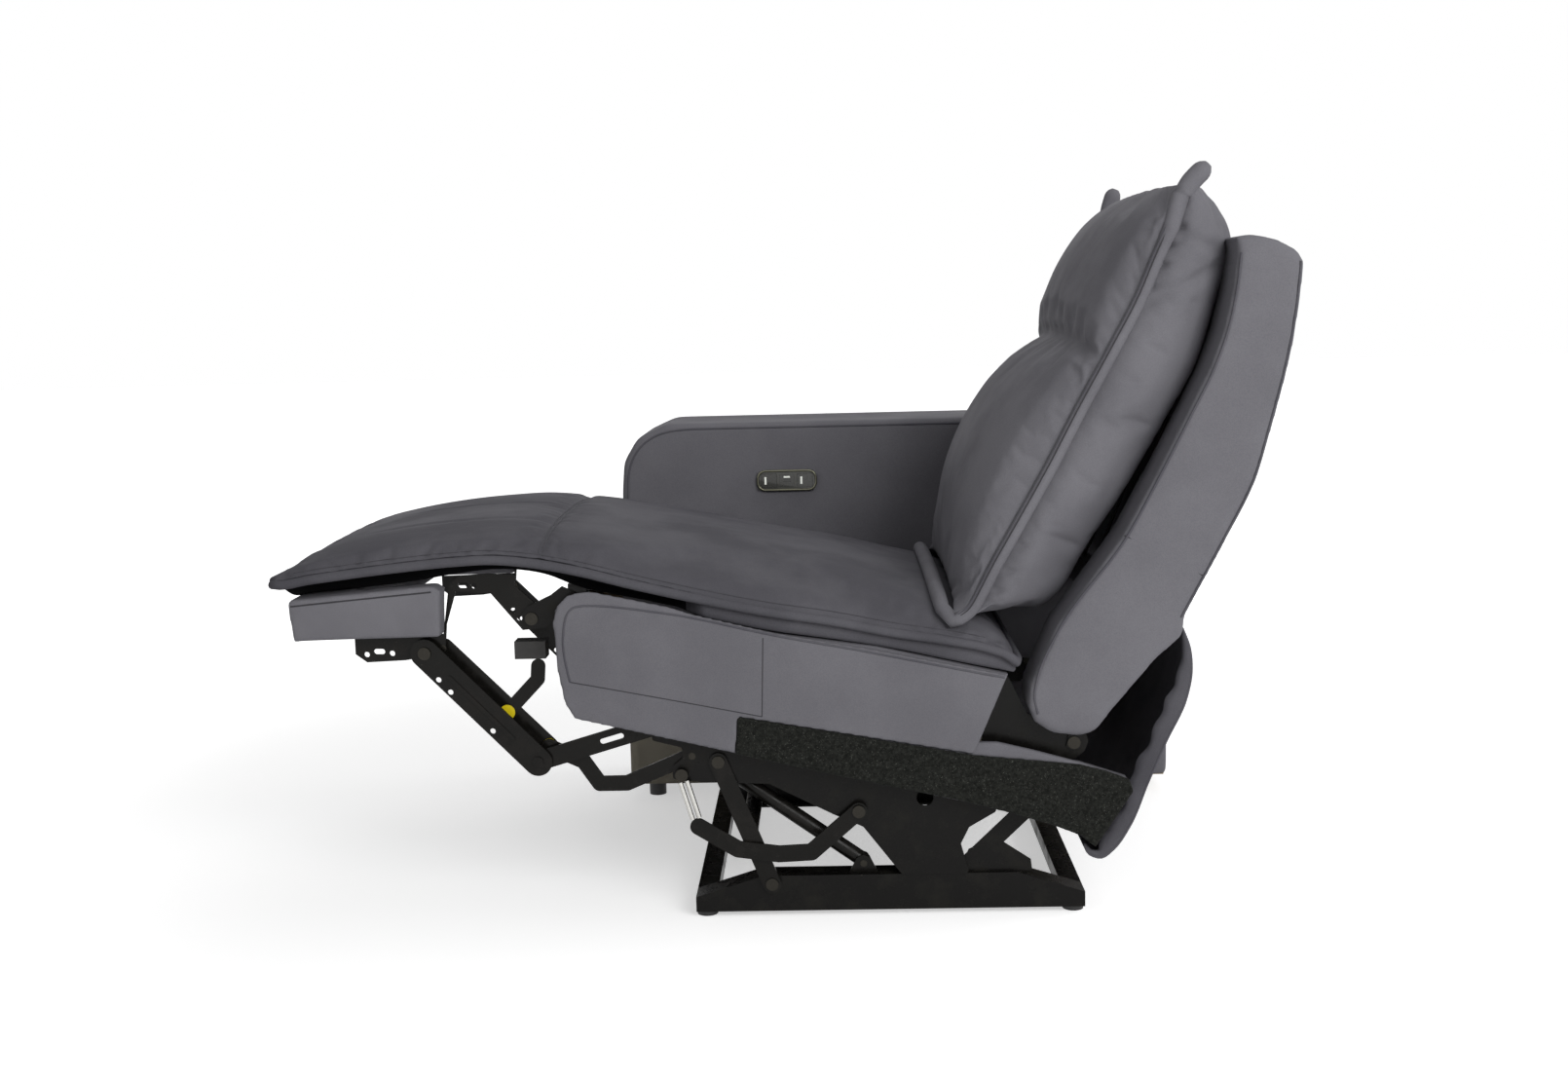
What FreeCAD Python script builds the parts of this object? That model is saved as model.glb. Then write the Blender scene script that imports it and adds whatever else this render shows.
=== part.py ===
import FreeCAD, Part
import os
import re
import Sketcher

# Power recliner with one arm: a mechanism of pressed steel links opens the footrest,
# lifts the seat forward and is driven by a linear actuator; the back reclines on its own.
# X is the depth (front at -X), Y the width (arm at +Y), Z up from the floor. Millimetres.

SIZES = {
    # Widths across the chair
    "seat_width": 616,
    "arm_gap": 10,
    "arm_width": 230,
    "cover_thickness": 4,
    "board_thickness": 22,
    # Pressed steel links lie in layers counted inwards from the seat board
    "sheet_thickness": 3.5,
    "layer_pitch": 5,
    "layer_clearance": 1,
    "fit_clearance": 0.05,
    "seat_clearance": 0.3,
    "pin_radius": 5,
    "axle_radius": 6,
    "head_radius": 9,
    "head_height": 2,
    "rivet_radius": 8,
    "small_hole_radius": 4,
    "corner_radius": 5,
    # Base on the floor
    "glide_radius": 15,
    "glide_height": 8,
    "rail_front_x": -129,
    "rail_rear_x": 426,
    "rail_width": 40,
    "rail_height": 52,
    "rail_end_height": 22,
    "rail_slope": 96,
    "rail_wall": 3,
    "rail_depth": 8,
    "cross_width": 30,
    "bracket_width": 36,
    "bracket_front_x": -92,
    "bracket_rear_x": 300,
    "bracket_bottom_z": 16,
    "bracket_height": 26,
    "inlet_width": 34,
    "inlet_depth": 14,
    "inlet_height": 18,
    "inlet_bore": 4,
    "inlet_side": 150,
    # Arm
    "arm_rear_x": 660,
    "arm_front_low_x": -290,
    "arm_top_z": 668,
    "arm_floor_gap": 30,
    "arm_nose_x": -195,
    "arm_cover_wall": 6,
    "arm_edge_radius": 16,
    "arm_cavity_front_x": -200,
    "frame_wall": 18,
    "lining_height": 100,
    "lining_thickness": 2,
    "arm_glide_inset": 44,
    # Control panel on the inner side of the arm
    "panel_x": 1,
    "panel_z": 567,
    "panel_length": 100,
    "panel_height": 33,
    "panel_thickness": 6,
    "button_length": 26,
    "button_height": 23,
    "button_depth": 4,
    "button_proud": 1.2,
    "button_spacing": 62,
    "button_clearance": 0.4,
    "socket_length": 24,
    "socket_height": 20,
    "slot_length": 13,
    "slot_height": 5,
    # Links
    "lift_width": 26,
    "lift_tube_radius": 12,
    "drive_tube_radius": 11,
    "crank_width": 30,
    "torque_tube_radius": 11,
    "actuator_arm_width": 20,
    "actuator_arm_thickness": 6,
    "lower_link_width": 28,
    "cross_link_width": 22,
    "channel_width": 40,
    "rib_width": 6,
    "rib_height": 1.5,
    "rear_link_width": 24,
    "bumper_strap_width": 20,
    "bumper_length": 44,
    "bumper_height": 25,
    "bumper_width": 30,
    "footrest_beam_x": -600,
    "stand_width": 25,
    "stay_width": 24,
    "stay_rod_radius": 3.5,
    "stay_rod_spacing": 10,
    "washer_radius": 11,
    "washer_thickness": 1.2,
    # Actuator under the seat
    "actuator_y": 25,
    "actuator_z": 222,
    "actuator_rail_size": 28,
    "actuator_rail_front_x": -150,
    "gearbox_length": 70,
    "gearbox_height": 44,
    "gearbox_width": 34,
    "motor_radius": 20,
    "motor_length": 84,
    "slider_wall": 5,
    "slider_length": 40,
    "slider_clearance": 0.3,
    "slider_lug_radius": 12,
    # Seat box
    "front_board_bottom_z": 330,
    "front_board_top_z": 432,
    "front_rail_bottom_z": 408,
    "front_board_x": -303,
    "front_cover_thickness": 9,
    "rear_board_x": 340,
    "rear_board_bottom_z": 182,
    "rear_board_height": 48,
    "spring_radius": 2,
    "spring_count": 6,
    "spring_spread": 0.8,
    "cushion_inset": 2,
    # Back
    "hinge_clearance": 0.5,
    "back_rail_width": 20,
    "back_rail_height": 50,
}

# Pivots and single places, as x and z
PLACES = {
    "front_lift_foot": (-19, 50),
    "front_lift_head": (-91, 230),
    "rear_lift_foot": (343.4, 150),
    "rear_lift_head": (247, 235),
    "knee": (-346, 441),
    "channel_foot": (-498, 395),
    "rear_link_foot": (-474, 400),
    "lower_knuckle": (-345, 236),
    "cross_knuckle": (-331, 254),
    "lower_link_root": (-160, 290),
    "cross_link_root": (-128, 238),
    "drive_foot": (112, 72),
    "drive_bend": (-50, 188),
    "drive_head": (-83, 211),
    "crank_axle": (-25, 275),
    "actuator_arm_tip": (9.3, 219.8),
    "strap_root": (-389, 304),
    "strap_elbow": (-344, 351),
    "strap_head": (-342.5, 370.2),
    "bumper": (-353, 393),
    "lift_tube": (-49, 126),
    "back_hinge": (409, 250),
    "stay_bolt": (106, 157),
    "stay_pin": (-143, 213),
    "stay_front": (-121, 138),
    "stand_foot": (264, 74),
    "cross_bend_low": (-261, 199),
    "cross_bend_rear": (-222, 199),
    "cross_bend_high": (-283, 232),
    "cross_tail": (-97, 235),
    "back_rail_high": (632, 884),
    "back_rail_low": (474, 440),
    "spacer_front": (-130, 282),
    "spacer_middle": (60, 239),
    "spacer_rear": (207, 215),
    "bracket_spacer_front": (299, 228),
    "bracket_spacer_rear": (369, 222),
    "plate_hole_front": (-582, 393),
    "plate_hole_rear": (-546, 394),
    "plate_slot_front": (-568, 397),
    "plate_slot_rear": (-560, 397),
    "bracket_slot_front": (-444, 489),
    "bracket_slot_rear": (-437, 489),
    "bracket_hole_high": (-426, 488),
    "bracket_hole_middle": (-372, 452),
    "bracket_hole_low": (-364, 441),
    "lower_slot_front": (-253, 263),
    "lower_slot_rear": (-227, 270.5),
    "channel_hole_high": (-480, 357),
    "channel_hole_middle": (-464, 339),
    "channel_hole_low": (-407, 282),
    "stay_low_front": (-66, 104),
    "stay_low_middle": (-8, 96),
    "stay_low_rear": (38, 98),
    "seat_plate_hole": (200, 172),
    "arm_shoulder": (-251, 649),
    "arm_tip": (-281, 606),
    "arm_front_high": (-287, 553),
}

# Outlines of flat pieces, as x and z of each corner
OUTLINES = {
    "stand_plate": [(246, 60), (352, 60), (350, 76), (302, 108), (262, 92)],
    "lug": [(92, 60), (132, 60), (122, 80), (112, 85), (102, 80)],
    "seat_plate": [(-184, 306), (-184, 262), (-142, 251), (-141, 236), (-156, 224), (-156, 205),
                   (-112, 200), (-20, 196), (70, 150), (112, 131), (166, 60.3), (262, 60.3), (250, 104),
                   (262, 128), (300, 150), (304, 180), (264, 206), (264, 252), (-60, 306)],
    "board": [(-300, 326), (-287, 303), (-65, 249), (320, 158), (415, 124), (435, 107), (487, 186),
              (480, 202), (415, 224), (267, 241), (315, 354), (134, 396), (1, 415), (-133, 446),
              (-267, 474), (-296, 470), (-309, 456)],
    "side_cover": [(-303, 324), (-289, 303), (-65, 249), (-60, 303), (267, 242), (315, 354),
                   (134, 396), (1, 415), (-133, 446), (-267, 474), (-298, 470), (-312, 456)],
    "felt": [(-60, 302.6), (-65, 248.6), (320, 157), (415, 123), (435, 106), (489, 186), (482, 203),
             (415, 225), (267, 241.6)],
    "knee_arm": [(-350, 432), (-360, 446), (-352, 458), (-318, 474), (-302, 486), (-277, 475),
                 (-290, 461), (-326, 428)],
    "back_bracket": [(276, 232), (300, 345), (318, 345), (344, 292), (424, 268), (430, 250),
                     (424, 236), (396, 214), (300, 214)],
    "footrest_plate": [(-598, 418), (-472, 420.6), (-461.4, 490), (-446, 503), (-406, 505), (-368, 503),
                       (-368, 487), (-333, 454), (-327, 427), (-360, 424), (-403, 477), (-452, 481),
                       (-467, 434), (-471, 392), (-528, 384), (-582, 382), (-598, 394)],
    "footrest_block": [(-686, 476.5), (-476, 493.6), (-470, 487), (-472, 421), (-677, 418.4)],
    "back_board": [(476, 551), (519, 630), (561, 713), (589, 770), (607, 820), (619, 877), (624, 922),
                   (624, 939), (656, 940), (687, 932), (712, 908), (706, 828), (692, 764), (676, 700),
                   (653, 617), (608, 526), (557, 430), (555, 404), (518, 371), (457, 299), (414, 264),
                   (375, 270), (352, 285), (344, 308), (345, 338), (382, 420)],
    "back_hinge_plate": [(398, 244), (402, 262), (392, 290), (440, 400), (470, 400), (470, 350),
                         (420, 262), (420, 243), (409, 238)],
    "back_panel": [(656, 939), (686, 930), (709, 907), (705, 828), (691, 764), (675, 700), (652, 617),
                   (607, 526), (556, 430), (552, 432), (603, 528), (648, 619), (671, 701), (687, 765),
                   (701, 828), (705, 905), (684, 926), (656, 935)],
    "upper_skirt": [(551, 403.4), (558, 403.4), (569, 353), (560, 278), (555, 278), (564, 353)],
    "lower_skirt": [(531, 258), (536, 260), (485, 130), (446, 87), (420, 103), (426, 150), (430, 150),
                    (425, 107), (445, 94), (481, 133)],
}

# Cushion stations: x, underside, side welt and crown height above the welt
PAD_STATIONS = [(-712, 497, 505, 8), (-692, 476.6, 505, 16), (-652, 479.8, 511, 26),
                (-612, 483, 515, 32), (-534, 489.4, 523, 36), (-476, 494.2, 529, 37),
                (-446, 503.6, 531, 38)]
SEAT_STATIONS = [(-445, 507.4, 531, 38), (-390, 508, 534, 40), (-320, 498, 526, 46),
                 (-267, 474.4, 514, 50), (-201, 460.6, 496, 56), (-133, 446.4, 479, 60),
                 (1, 415.4, 452, 64), (134, 396.4, 426, 60), (205, 380, 415, 46), (250, 369.5, 405, 20),
                 (292, 359.8, 396, 14), (326, 352, 378, 8)]
# Back stations: rear point and side welt, each x and z, then crown beyond the welt
BACK_STATIONS = [(389.2, 431, 262, 436, 20), (410.9, 461, 272, 473, 44), (454.7, 522, 304, 531, 62),
                 (495.6, 588, 345, 604, 78), (534.7, 662, 388, 683, 88), (576.2, 745, 433, 765, 85),
                 (600, 802, 456, 808, 58)]
HEAD_STATIONS = [(600, 802.4, 456, 808.4, 56), (616.6, 868, 490, 872, 75), (623.6, 925, 512, 927, 68),
                 (622, 962, 530, 970, 60), (606, 990, 548, 1006, 30), (592, 1022, 572, 1034, 14)]

document = FreeCAD.newDocument("Recliner")
sheet = document.addObject("Spreadsheet::Sheet", "Sizes")
pieces = []


def fill_sheet():
    """Write every size, place and outline corner into its own named cell."""
    cells = dict(SIZES)
    for name, (x, z) in PLACES.items():
        cells[name + "_x"] = x
        cells[name + "_z"] = z
    for name, corners in OUTLINES.items():
        for index, (x, z) in enumerate(corners):
            cells[f"{name}_{index}_x"] = x
            cells[f"{name}_{index}_z"] = z
    for row, (name, value) in enumerate(cells.items(), start=1):
        sheet.set(f"A{row}", str(value))
        sheet.setAlias(f"A{row}", name)
    document.recompute()


def cell(text):
    """Turn plain size names into references to the sheet."""
    return re.sub(r"\b([a-z][a-z_0-9]*)\b", r"Sizes.\1", text)


def number(text):
    return float(sheet.evalExpression(cell(text)))


def bind(item, prop, text):
    item.setExpression(prop, cell(text))


def place(name):
    return (name + "_x", name + "_z")


def along(start, end, share):
    """A place on the line between two others."""
    return tuple(f"{start}_{axis} + ({end}_{axis} - {start}_{axis}) * {share}" for axis in "xz")


def outline(name):
    return [(f"{name}_{index}_x", f"{name}_{index}_z") for index in range(len(OUTLINES[name]))]


def xz(name):
    return FreeCAD.Vector(number(name + "_x"), 0, number(name + "_z"))


# Layers of the mechanism, as the distance of a piece's outer face from the board's inner face
HALF_SPAN = "(seat_width / 2 - cover_thickness - board_thickness)"
CENTRE_Y = "(-(arm_gap + arm_width) / 2)"
ARM_INNER_Y = "((seat_width + arm_gap - arm_width) / 2)"
OUTER = "(-layer_clearance - sheet_thickness)"
COVER = "(-cover_thickness - board_thickness)"
BRACKET_DEPTH = "(hinge_clearance * 2 + sheet_thickness)"


def layer(index):
    return f"(layer_clearance + {index} * layer_pitch)"


def finish(item, label):
    item.Label = label
    pieces.append(item)
    return item


class Pressing:
    """A piece on the XZ plane, cut from flat stock and mirrored to the other side."""

    def __init__(self, label, centre=CENTRE_Y):
        self.body = document.addObject("PartDesign::Body", label)
        self.centre = centre
        self.label = label
        self.count = 0

    def origin_plane(self, role):
        return [item for item in self.body.Origin.OriginFeatures if item.Role == role][0]

    def sketch(self, from_centre, role="XZ_Plane"):
        self.count += 1
        sketch = self.body.newObject("Sketcher::SketchObject", f"{self.label}_sketch_{self.count}")
        sketch.AttachmentSupport = (self.origin_plane(role), [""])
        sketch.MapMode = "FlatFace"
        bind(sketch, "AttachmentOffset.Base.z", from_centre)
        return sketch

    def fix_point(self, sketch, geometry, position, spot):
        for kind, text in zip(("DistanceX", "DistanceY"), spot):
            constraint = Sketcher.Constraint(kind, -1, 1, geometry, position, number(text))
            index = sketch.addConstraint(constraint)
            sketch.setExpression(f"Constraints[{index}]", cell(text))

    def draw_polygon(self, sketch, corners):
        points = [FreeCAD.Vector(number(x), number(z), 0) for x, z in corners]
        for index, point in enumerate(points):
            sketch.addGeometry(Part.LineSegment(point, points[(index + 1) % len(points)]))
        for index in range(len(points)):
            following = (index + 1) % len(points)
            sketch.addConstraint(Sketcher.Constraint("Coincident", index, 2, following, 1))
        for index, corner in enumerate(corners):
            self.fix_point(sketch, index, 1, corner)

    def draw_circle(self, sketch, spot, radius):
        centre = FreeCAD.Vector(number(spot[0]), number(spot[1]), 0)
        circle = Part.Circle(centre, FreeCAD.Vector(0, 0, 1), number(radius))
        geometry = sketch.addGeometry(circle)
        self.fix_point(sketch, geometry, 3, spot)
        index = sketch.addConstraint(Sketcher.Constraint("Radius", geometry, number(radius)))
        sketch.setExpression(f"Constraints[{index}]", cell(radius))

    def draw_slot(self, sketch, start, end, width):
        first = FreeCAD.Vector(number(start[0]), number(start[1]), 0)
        last = FreeCAD.Vector(number(end[0]), number(end[1]), 0)
        along = (last - first).normalize()
        side = FreeCAD.Vector(-along.y, along.x, 0) * (number(width) / 2)
        along = along * (number(width) / 2)
        sketch.addGeometry(Part.LineSegment(first - side, last - side))
        sketch.addGeometry(Part.Arc(last - side, last + along, last + side))
        sketch.addGeometry(Part.LineSegment(last + side, first + side))
        sketch.addGeometry(Part.Arc(first + side, first - along, first - side))
        for index in range(4):
            following = (index + 1) % 4
            end_of_arc = 2
            sketch.addConstraint(Sketcher.Constraint("Tangent", index, end_of_arc, following, 1))
        self.fix_point(sketch, 1, 3, end)
        self.fix_point(sketch, 3, 3, start)
        index = sketch.addConstraint(Sketcher.Constraint("Radius", 1, number(width) / 2))
        sketch.setExpression(f"Constraints[{index}]", cell(f"{width} / 2"))

    def pad(self, sketch, thickness):
        feature = self.body.newObject("PartDesign::Pad", f"{self.label}_pad_{self.count}")
        feature.Profile = sketch
        bind(feature, "Length", thickness)
        feature.Reversed = True
        sketch.Visibility = False
        document.recompute()
        return feature

    def polygon(self, corners, depth, thickness="sheet_thickness"):
        sketch = self.sketch(f"{HALF_SPAN} - {depth}")
        self.draw_polygon(sketch, corners)
        return self.pad(sketch, thickness)

    def disc(self, spot, radius, depth, thickness):
        sketch = self.sketch(f"{HALF_SPAN} - {depth}")
        self.draw_circle(sketch, spot, radius)
        return self.pad(sketch, thickness)

    def strap(self, spots, width, depth, thickness="sheet_thickness"):
        for start, end in zip(spots, spots[1:]):
            sketch = self.sketch(f"{HALF_SPAN} - {depth}")
            self.draw_slot(sketch, start, end, width)
            self.pad(sketch, thickness)

    def cut(self, draw, depth=None, length=None):
        """Cut what draw adds to a sketch, right through or from a depth."""
        before = self.body.Shape.Volume
        sketch = self.sketch(f"{HALF_SPAN} - {depth}" if depth else HALF_SPAN)
        draw(sketch)
        feature = self.body.newObject("PartDesign::Pocket", f"{self.label}_cut_{self.count}")
        feature.Profile = sketch
        if length:
            bind(feature, "Length", length)
        else:
            feature.Type = "ThroughAll"
            feature.Midplane = True
        document.recompute()
        if not feature.Shape.Volume < before:
            raise RuntimeError(f"{self.label}: a cut removes nothing")
        return feature

    def holes(self, spots, radius):
        def draw(sketch):
            for spot in spots:
                self.draw_circle(sketch, spot, radius)
        return self.cut(draw)

    def slot_hole(self, start, end, width):
        return self.cut(lambda sketch: self.draw_slot(sketch, start, end, width))

    def hollow(self, plan, level, height):
        """Cut a hollow upwards from a level, from its plan as x and y of each corner."""
        before = self.body.Shape.Volume
        sketch = self.sketch(level, "XY_Plane")
        self.draw_polygon(sketch, plan)
        feature = self.body.newObject("PartDesign::Pocket", f"{self.label}_hollow_{self.count}")
        feature.Profile = sketch
        feature.Reversed = True
        bind(feature, "Length", height)
        document.recompute()
        if not feature.Shape.Volume < before:
            raise RuntimeError(f"{self.label}: the hollow removes nothing")

    def round_edges(self, radius="corner_radius"):
        """Round the corners that run across the chair."""
        base = self.body.Tip
        names = []
        for index, edge in enumerate(base.Shape.Edges, start=1):
            if len(edge.Vertexes) < 2 or edge.Curve.TypeId != "Part::GeomLine":
                continue
            run = edge.Vertexes[-1].Point - edge.Vertexes[0].Point
            if abs(run.x) + abs(run.z) < 1e-6:
                names.append(f"Edge{index}")
        feature = self.body.newObject("PartDesign::Fillet", self.label + "_rounding")
        feature.Base = (base, names)
        bind(feature, "Radius", radius)
        document.recompute()
        return feature

    def mirrored(self):
        feature = self.body.newObject("PartDesign::Mirrored", self.label + "_pair")
        feature.TransformMode = "Whole shape"
        feature.MirrorPlane = (self.origin_plane("XZ_Plane"), [""])
        self.body.Tip = feature
        return self.single()

    def single(self):
        bind(self.body, "Placement.Base.y", self.centre)
        document.recompute()
        return finish(self.body, self.label)


def box(label, low, sizes):
    """A block from its low corner, all six values as size texts."""
    item = document.addObject("Part::Box", label)
    for prop, text in zip(("Length", "Width", "Height"), sizes):
        bind(item, prop, text)
    for axis, text in zip("xyz", low):
        bind(item, f"Placement.Base.{axis}", text)
    return item


def rod(label, spot, low_y, length, radius):
    """A round bar across the chair."""
    item = document.addObject("Part::Cylinder", label)
    item.Placement = FreeCAD.Placement(FreeCAD.Vector(), FreeCAD.Rotation(FreeCAD.Vector(1, 0, 0), -90))
    bind(item, "Radius", radius)
    bind(item, "Height", length)
    bind(item, "Placement.Base.x", spot[0])
    bind(item, "Placement.Base.y", low_y)
    bind(item, "Placement.Base.z", spot[1])
    return item


def cut(label, base, tool):
    item = document.addObject("Part::Cut", label)
    item.Base = base
    item.Tool = tool
    return item


def gather(kind, label, items):
    item = document.addObject(kind, label)
    prop = "Links" if kind == "Part::Compound" else "Shapes"
    setattr(item, prop, items)
    document.recompute()
    return finish(item, label)


def feature(label, shape):
    item = document.addObject("Part::Feature", label)
    item.Shape = shape
    item.Placement = FreeCAD.Placement()
    return finish(item, label)


# Base

def floor_glides():
    rail_y = f"({HALF_SPAN} - rail_depth - rail_width / 2)"
    spots = []
    for x in ("rail_front_x + cross_width / 2", "rail_rear_x - cross_width / 2"):
        for side in ("-", ""):
            spots.append((x, f"{CENTRE_Y} + {side}{rail_y}", "glide_height"))
    for x in ("arm_front_low_x + arm_glide_inset", "arm_rear_x - arm_glide_inset"):
        for y in (f"{ARM_INNER_Y} + arm_glide_inset", f"{ARM_INNER_Y} + arm_width - arm_glide_inset"):
            spots.append((x, y, "arm_floor_gap"))
    glides = []
    for index, (x, y, height) in enumerate(spots):
        glide = document.addObject("Part::Cylinder", f"glide_{index}")
        bind(glide, "Radius", "glide_radius")
        bind(glide, "Height", height)
        bind(glide, "Placement.Base.x", x)
        bind(glide, "Placement.Base.y", y)
        glides.append(glide)
    gather("Part::Compound", "floor_glides", glides)


def base_rails():
    top = "glide_height + rail_height"
    end = "glide_height + rail_end_height"
    corners = [("rail_front_x", "glide_height"), ("rail_rear_x", "glide_height"), ("rail_rear_x", end),
               ("rail_rear_x - rail_slope", top), ("rail_front_x + rail_slope", top),
               ("rail_front_x", end)]
    inner = [("rail_front_x + rail_wall", "glide_height + rail_wall"),
             ("rail_rear_x - rail_wall", "glide_height + rail_wall"),
             ("rail_rear_x - rail_wall", f"{end} - rail_wall"),
             ("rail_rear_x - rail_slope - rail_wall", f"{top} - rail_wall"),
             ("rail_front_x + rail_slope + rail_wall", f"{top} - rail_wall"),
             ("rail_front_x + rail_wall", f"{end} - rail_wall")]
    rails = Pressing("base_rails")
    rails.polygon(corners, "rail_depth", "rail_width")
    rails.cut(lambda sketch: rails.draw_polygon(sketch, inner), "(rail_depth + rail_wall)", "rail_width")
    rails.holes([place("front_lift_foot")], "pin_radius + fit_clearance")
    rails.mirrored()


def cross_members():
    """Box sections between the two rails, at their front and rear ends."""
    half = f"({HALF_SPAN} - rail_depth - rail_width)"
    tubes = []
    for end, x in (("front", "rail_front_x"), ("rear", "rail_rear_x - cross_width")):
        outer = box(f"{end}_member_outer", (x, f"{CENTRE_Y} - {half}", "glide_height"),
                    ("cross_width", f"2 * {half}", "rail_end_height"))
        inner = box(f"{end}_member_bore",
                    (f"{x} + rail_wall", f"{CENTRE_Y} - {half}", "glide_height + rail_wall"),
                    ("cross_width - 2 * rail_wall", f"2 * {half}", "rail_end_height - 2 * rail_wall"))
        tubes.append(cut(f"{end}_member", outer, inner))
    gather("Part::Compound", "cross_members", tubes)


def power_inlet():
    x = "rail_rear_x"
    z = "glide_height + (rail_end_height - inlet_height) / 2"
    body = box("inlet_body", (x, f"{CENTRE_Y} + inlet_side", z),
               ("inlet_depth", "inlet_width", "inlet_height"))
    bore = document.addObject("Part::Cylinder", "inlet_bore")
    bore.Placement = FreeCAD.Placement(FreeCAD.Vector(), FreeCAD.Rotation(FreeCAD.Vector(0, 1, 0), 90))
    bind(bore, "Radius", "inlet_bore")
    bind(bore, "Height", "inlet_depth")
    bind(bore, "Placement.Base.x", f"{x} + inlet_depth / 2")
    bind(bore, "Placement.Base.y", f"{CENTRE_Y} + inlet_side + inlet_width / 2")
    bind(bore, "Placement.Base.z", "glide_height + rail_end_height / 2")
    finish(cut("power_inlet", body, bore), "power_inlet")


def base_stands():
    """Rear stands and drive lugs, which stand on the rails and carry two pivots each side."""
    stands = Pressing("base_stands")
    stands.polygon(outline("stand_plate"), layer(3))
    stands.strap([place("stand_foot"), place("rear_lift_foot")], "stand_width", layer(3))
    stands.polygon(outline("lug"), layer(4))
    stands.holes([place("rear_lift_foot"), place("drive_foot")], "pin_radius + fit_clearance")
    stands.mirrored()


def add_pin(pressing, spot, start, end, head_at):
    """A pin between two depths with a flat head beyond one of its ends."""
    first = f"({start} - seat_clearance)"
    last = f"({end} + seat_clearance)"
    pressing.disc(spot, "pin_radius", first, f"{last} - {first}")
    head = f"({first} - head_height)" if head_at == "outside" else last
    pressing.disc(spot, "head_radius", head, "head_height")


def rivet(pressing, spot, depth, height):
    """A rivet head on one face of a link."""
    pressing.disc(spot, "rivet_radius", depth, height)


def base_pivot_pins():
    pins = Pressing("base_pivot_pins")
    add_pin(pins, place("front_lift_foot"), layer(0), "rail_depth + rail_wall", "outside")
    add_pin(pins, place("rear_lift_foot"), layer(2), f"{layer(3)} + sheet_thickness", "inside")
    add_pin(pins, place("drive_foot"), layer(4), f"{layer(5)} + 2 * drive_tube_radius", "inside")
    pins.mirrored()


def arm_brackets():
    y = f"{CENTRE_Y} + {HALF_SPAN} - rail_depth"
    length = f"{ARM_INNER_Y} - lining_thickness - ({y})"
    blocks = []
    for name in ("bracket_front_x", "bracket_rear_x"):
        blocks.append(box(name + "_block", (name, y, "bracket_bottom_z"),
                          ("bracket_width", length, "bracket_height")))
    gather("Part::Compound", "arm_brackets", blocks)


# Arm

def arm_cover():
    cover = Pressing("arm_cover", "0")
    sketch = cover.sketch(f"-{ARM_INNER_Y}")
    corners = [("arm_front_low_x", "arm_floor_gap"), ("arm_rear_x", "arm_floor_gap"),
               ("arm_rear_x", "arm_top_z"), ("arm_nose_x", "arm_top_z"), place("arm_shoulder"),
               place("arm_tip"), place("arm_front_high")]
    cover.draw_polygon(sketch, corners)
    cover.pad(sketch, "arm_width")
    shaped = cover.body.Tip
    names = []
    for index, edge in enumerate(shaped.Shape.Edges, start=1):
        bounds = edge.BoundBox
        if bounds.YLength < 1e-6 and bounds.ZMax > number("arm_floor_gap") + 1:
            names.append(f"Edge{index}")
    rounding = cover.body.newObject("PartDesign::Fillet", "arm_edge_rounding")
    rounding.Base = (shaped, names)
    bind(rounding, "Radius", "arm_edge_radius")
    document.recompute()
    low_y = f"{ARM_INNER_Y} + arm_cover_wall"
    high_y = f"{ARM_INNER_Y} + arm_width - arm_cover_wall"
    rear_x = "arm_rear_x - arm_cover_wall"
    cover.hollow([("arm_cavity_front_x", low_y), (rear_x, low_y), (rear_x, high_y),
                  ("arm_cavity_front_x", high_y)],
                 "arm_floor_gap", "arm_top_z - arm_floor_gap - 2 * arm_cover_wall")
    cover.single()


def arm_frame():
    low = ("arm_cavity_front_x", f"{ARM_INNER_Y} + arm_cover_wall", "arm_floor_gap")
    outer = box("arm_frame_outer", low, ("arm_rear_x - arm_cover_wall - arm_cavity_front_x",
                                         "arm_width - 2 * arm_cover_wall",
                                         "arm_top_z - arm_floor_gap - 2 * arm_cover_wall"))
    inner = box("arm_frame_inner", tuple(f"{text} + frame_wall" for text in low),
                ("arm_rear_x - arm_cover_wall - arm_cavity_front_x - 2 * frame_wall",
                 "arm_width - 2 * arm_cover_wall - 2 * frame_wall",
                 "arm_top_z - arm_floor_gap - 2 * arm_cover_wall - 2 * frame_wall"))
    finish(cut("arm_frame", outer, inner), "arm_frame")


def arm_lining():
    item = box("arm_lining", ("arm_front_low_x + lining_thickness", f"{ARM_INNER_Y} - lining_thickness",
                              "arm_floor_gap"),
               ("arm_rear_x - arm_front_low_x - arm_edge_radius", "lining_thickness", "lining_height"))
    finish(item, "arm_lining")


def rectangle(centre_x, centre_z, length, height):
    left = f"{centre_x} - ({length}) / 2"
    right = f"{centre_x} + ({length}) / 2"
    low = f"{centre_z} - ({height}) / 2"
    high = f"{centre_z} + ({height}) / 2"
    return [(left, low), (right, low), (right, high), (left, high)]


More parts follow.
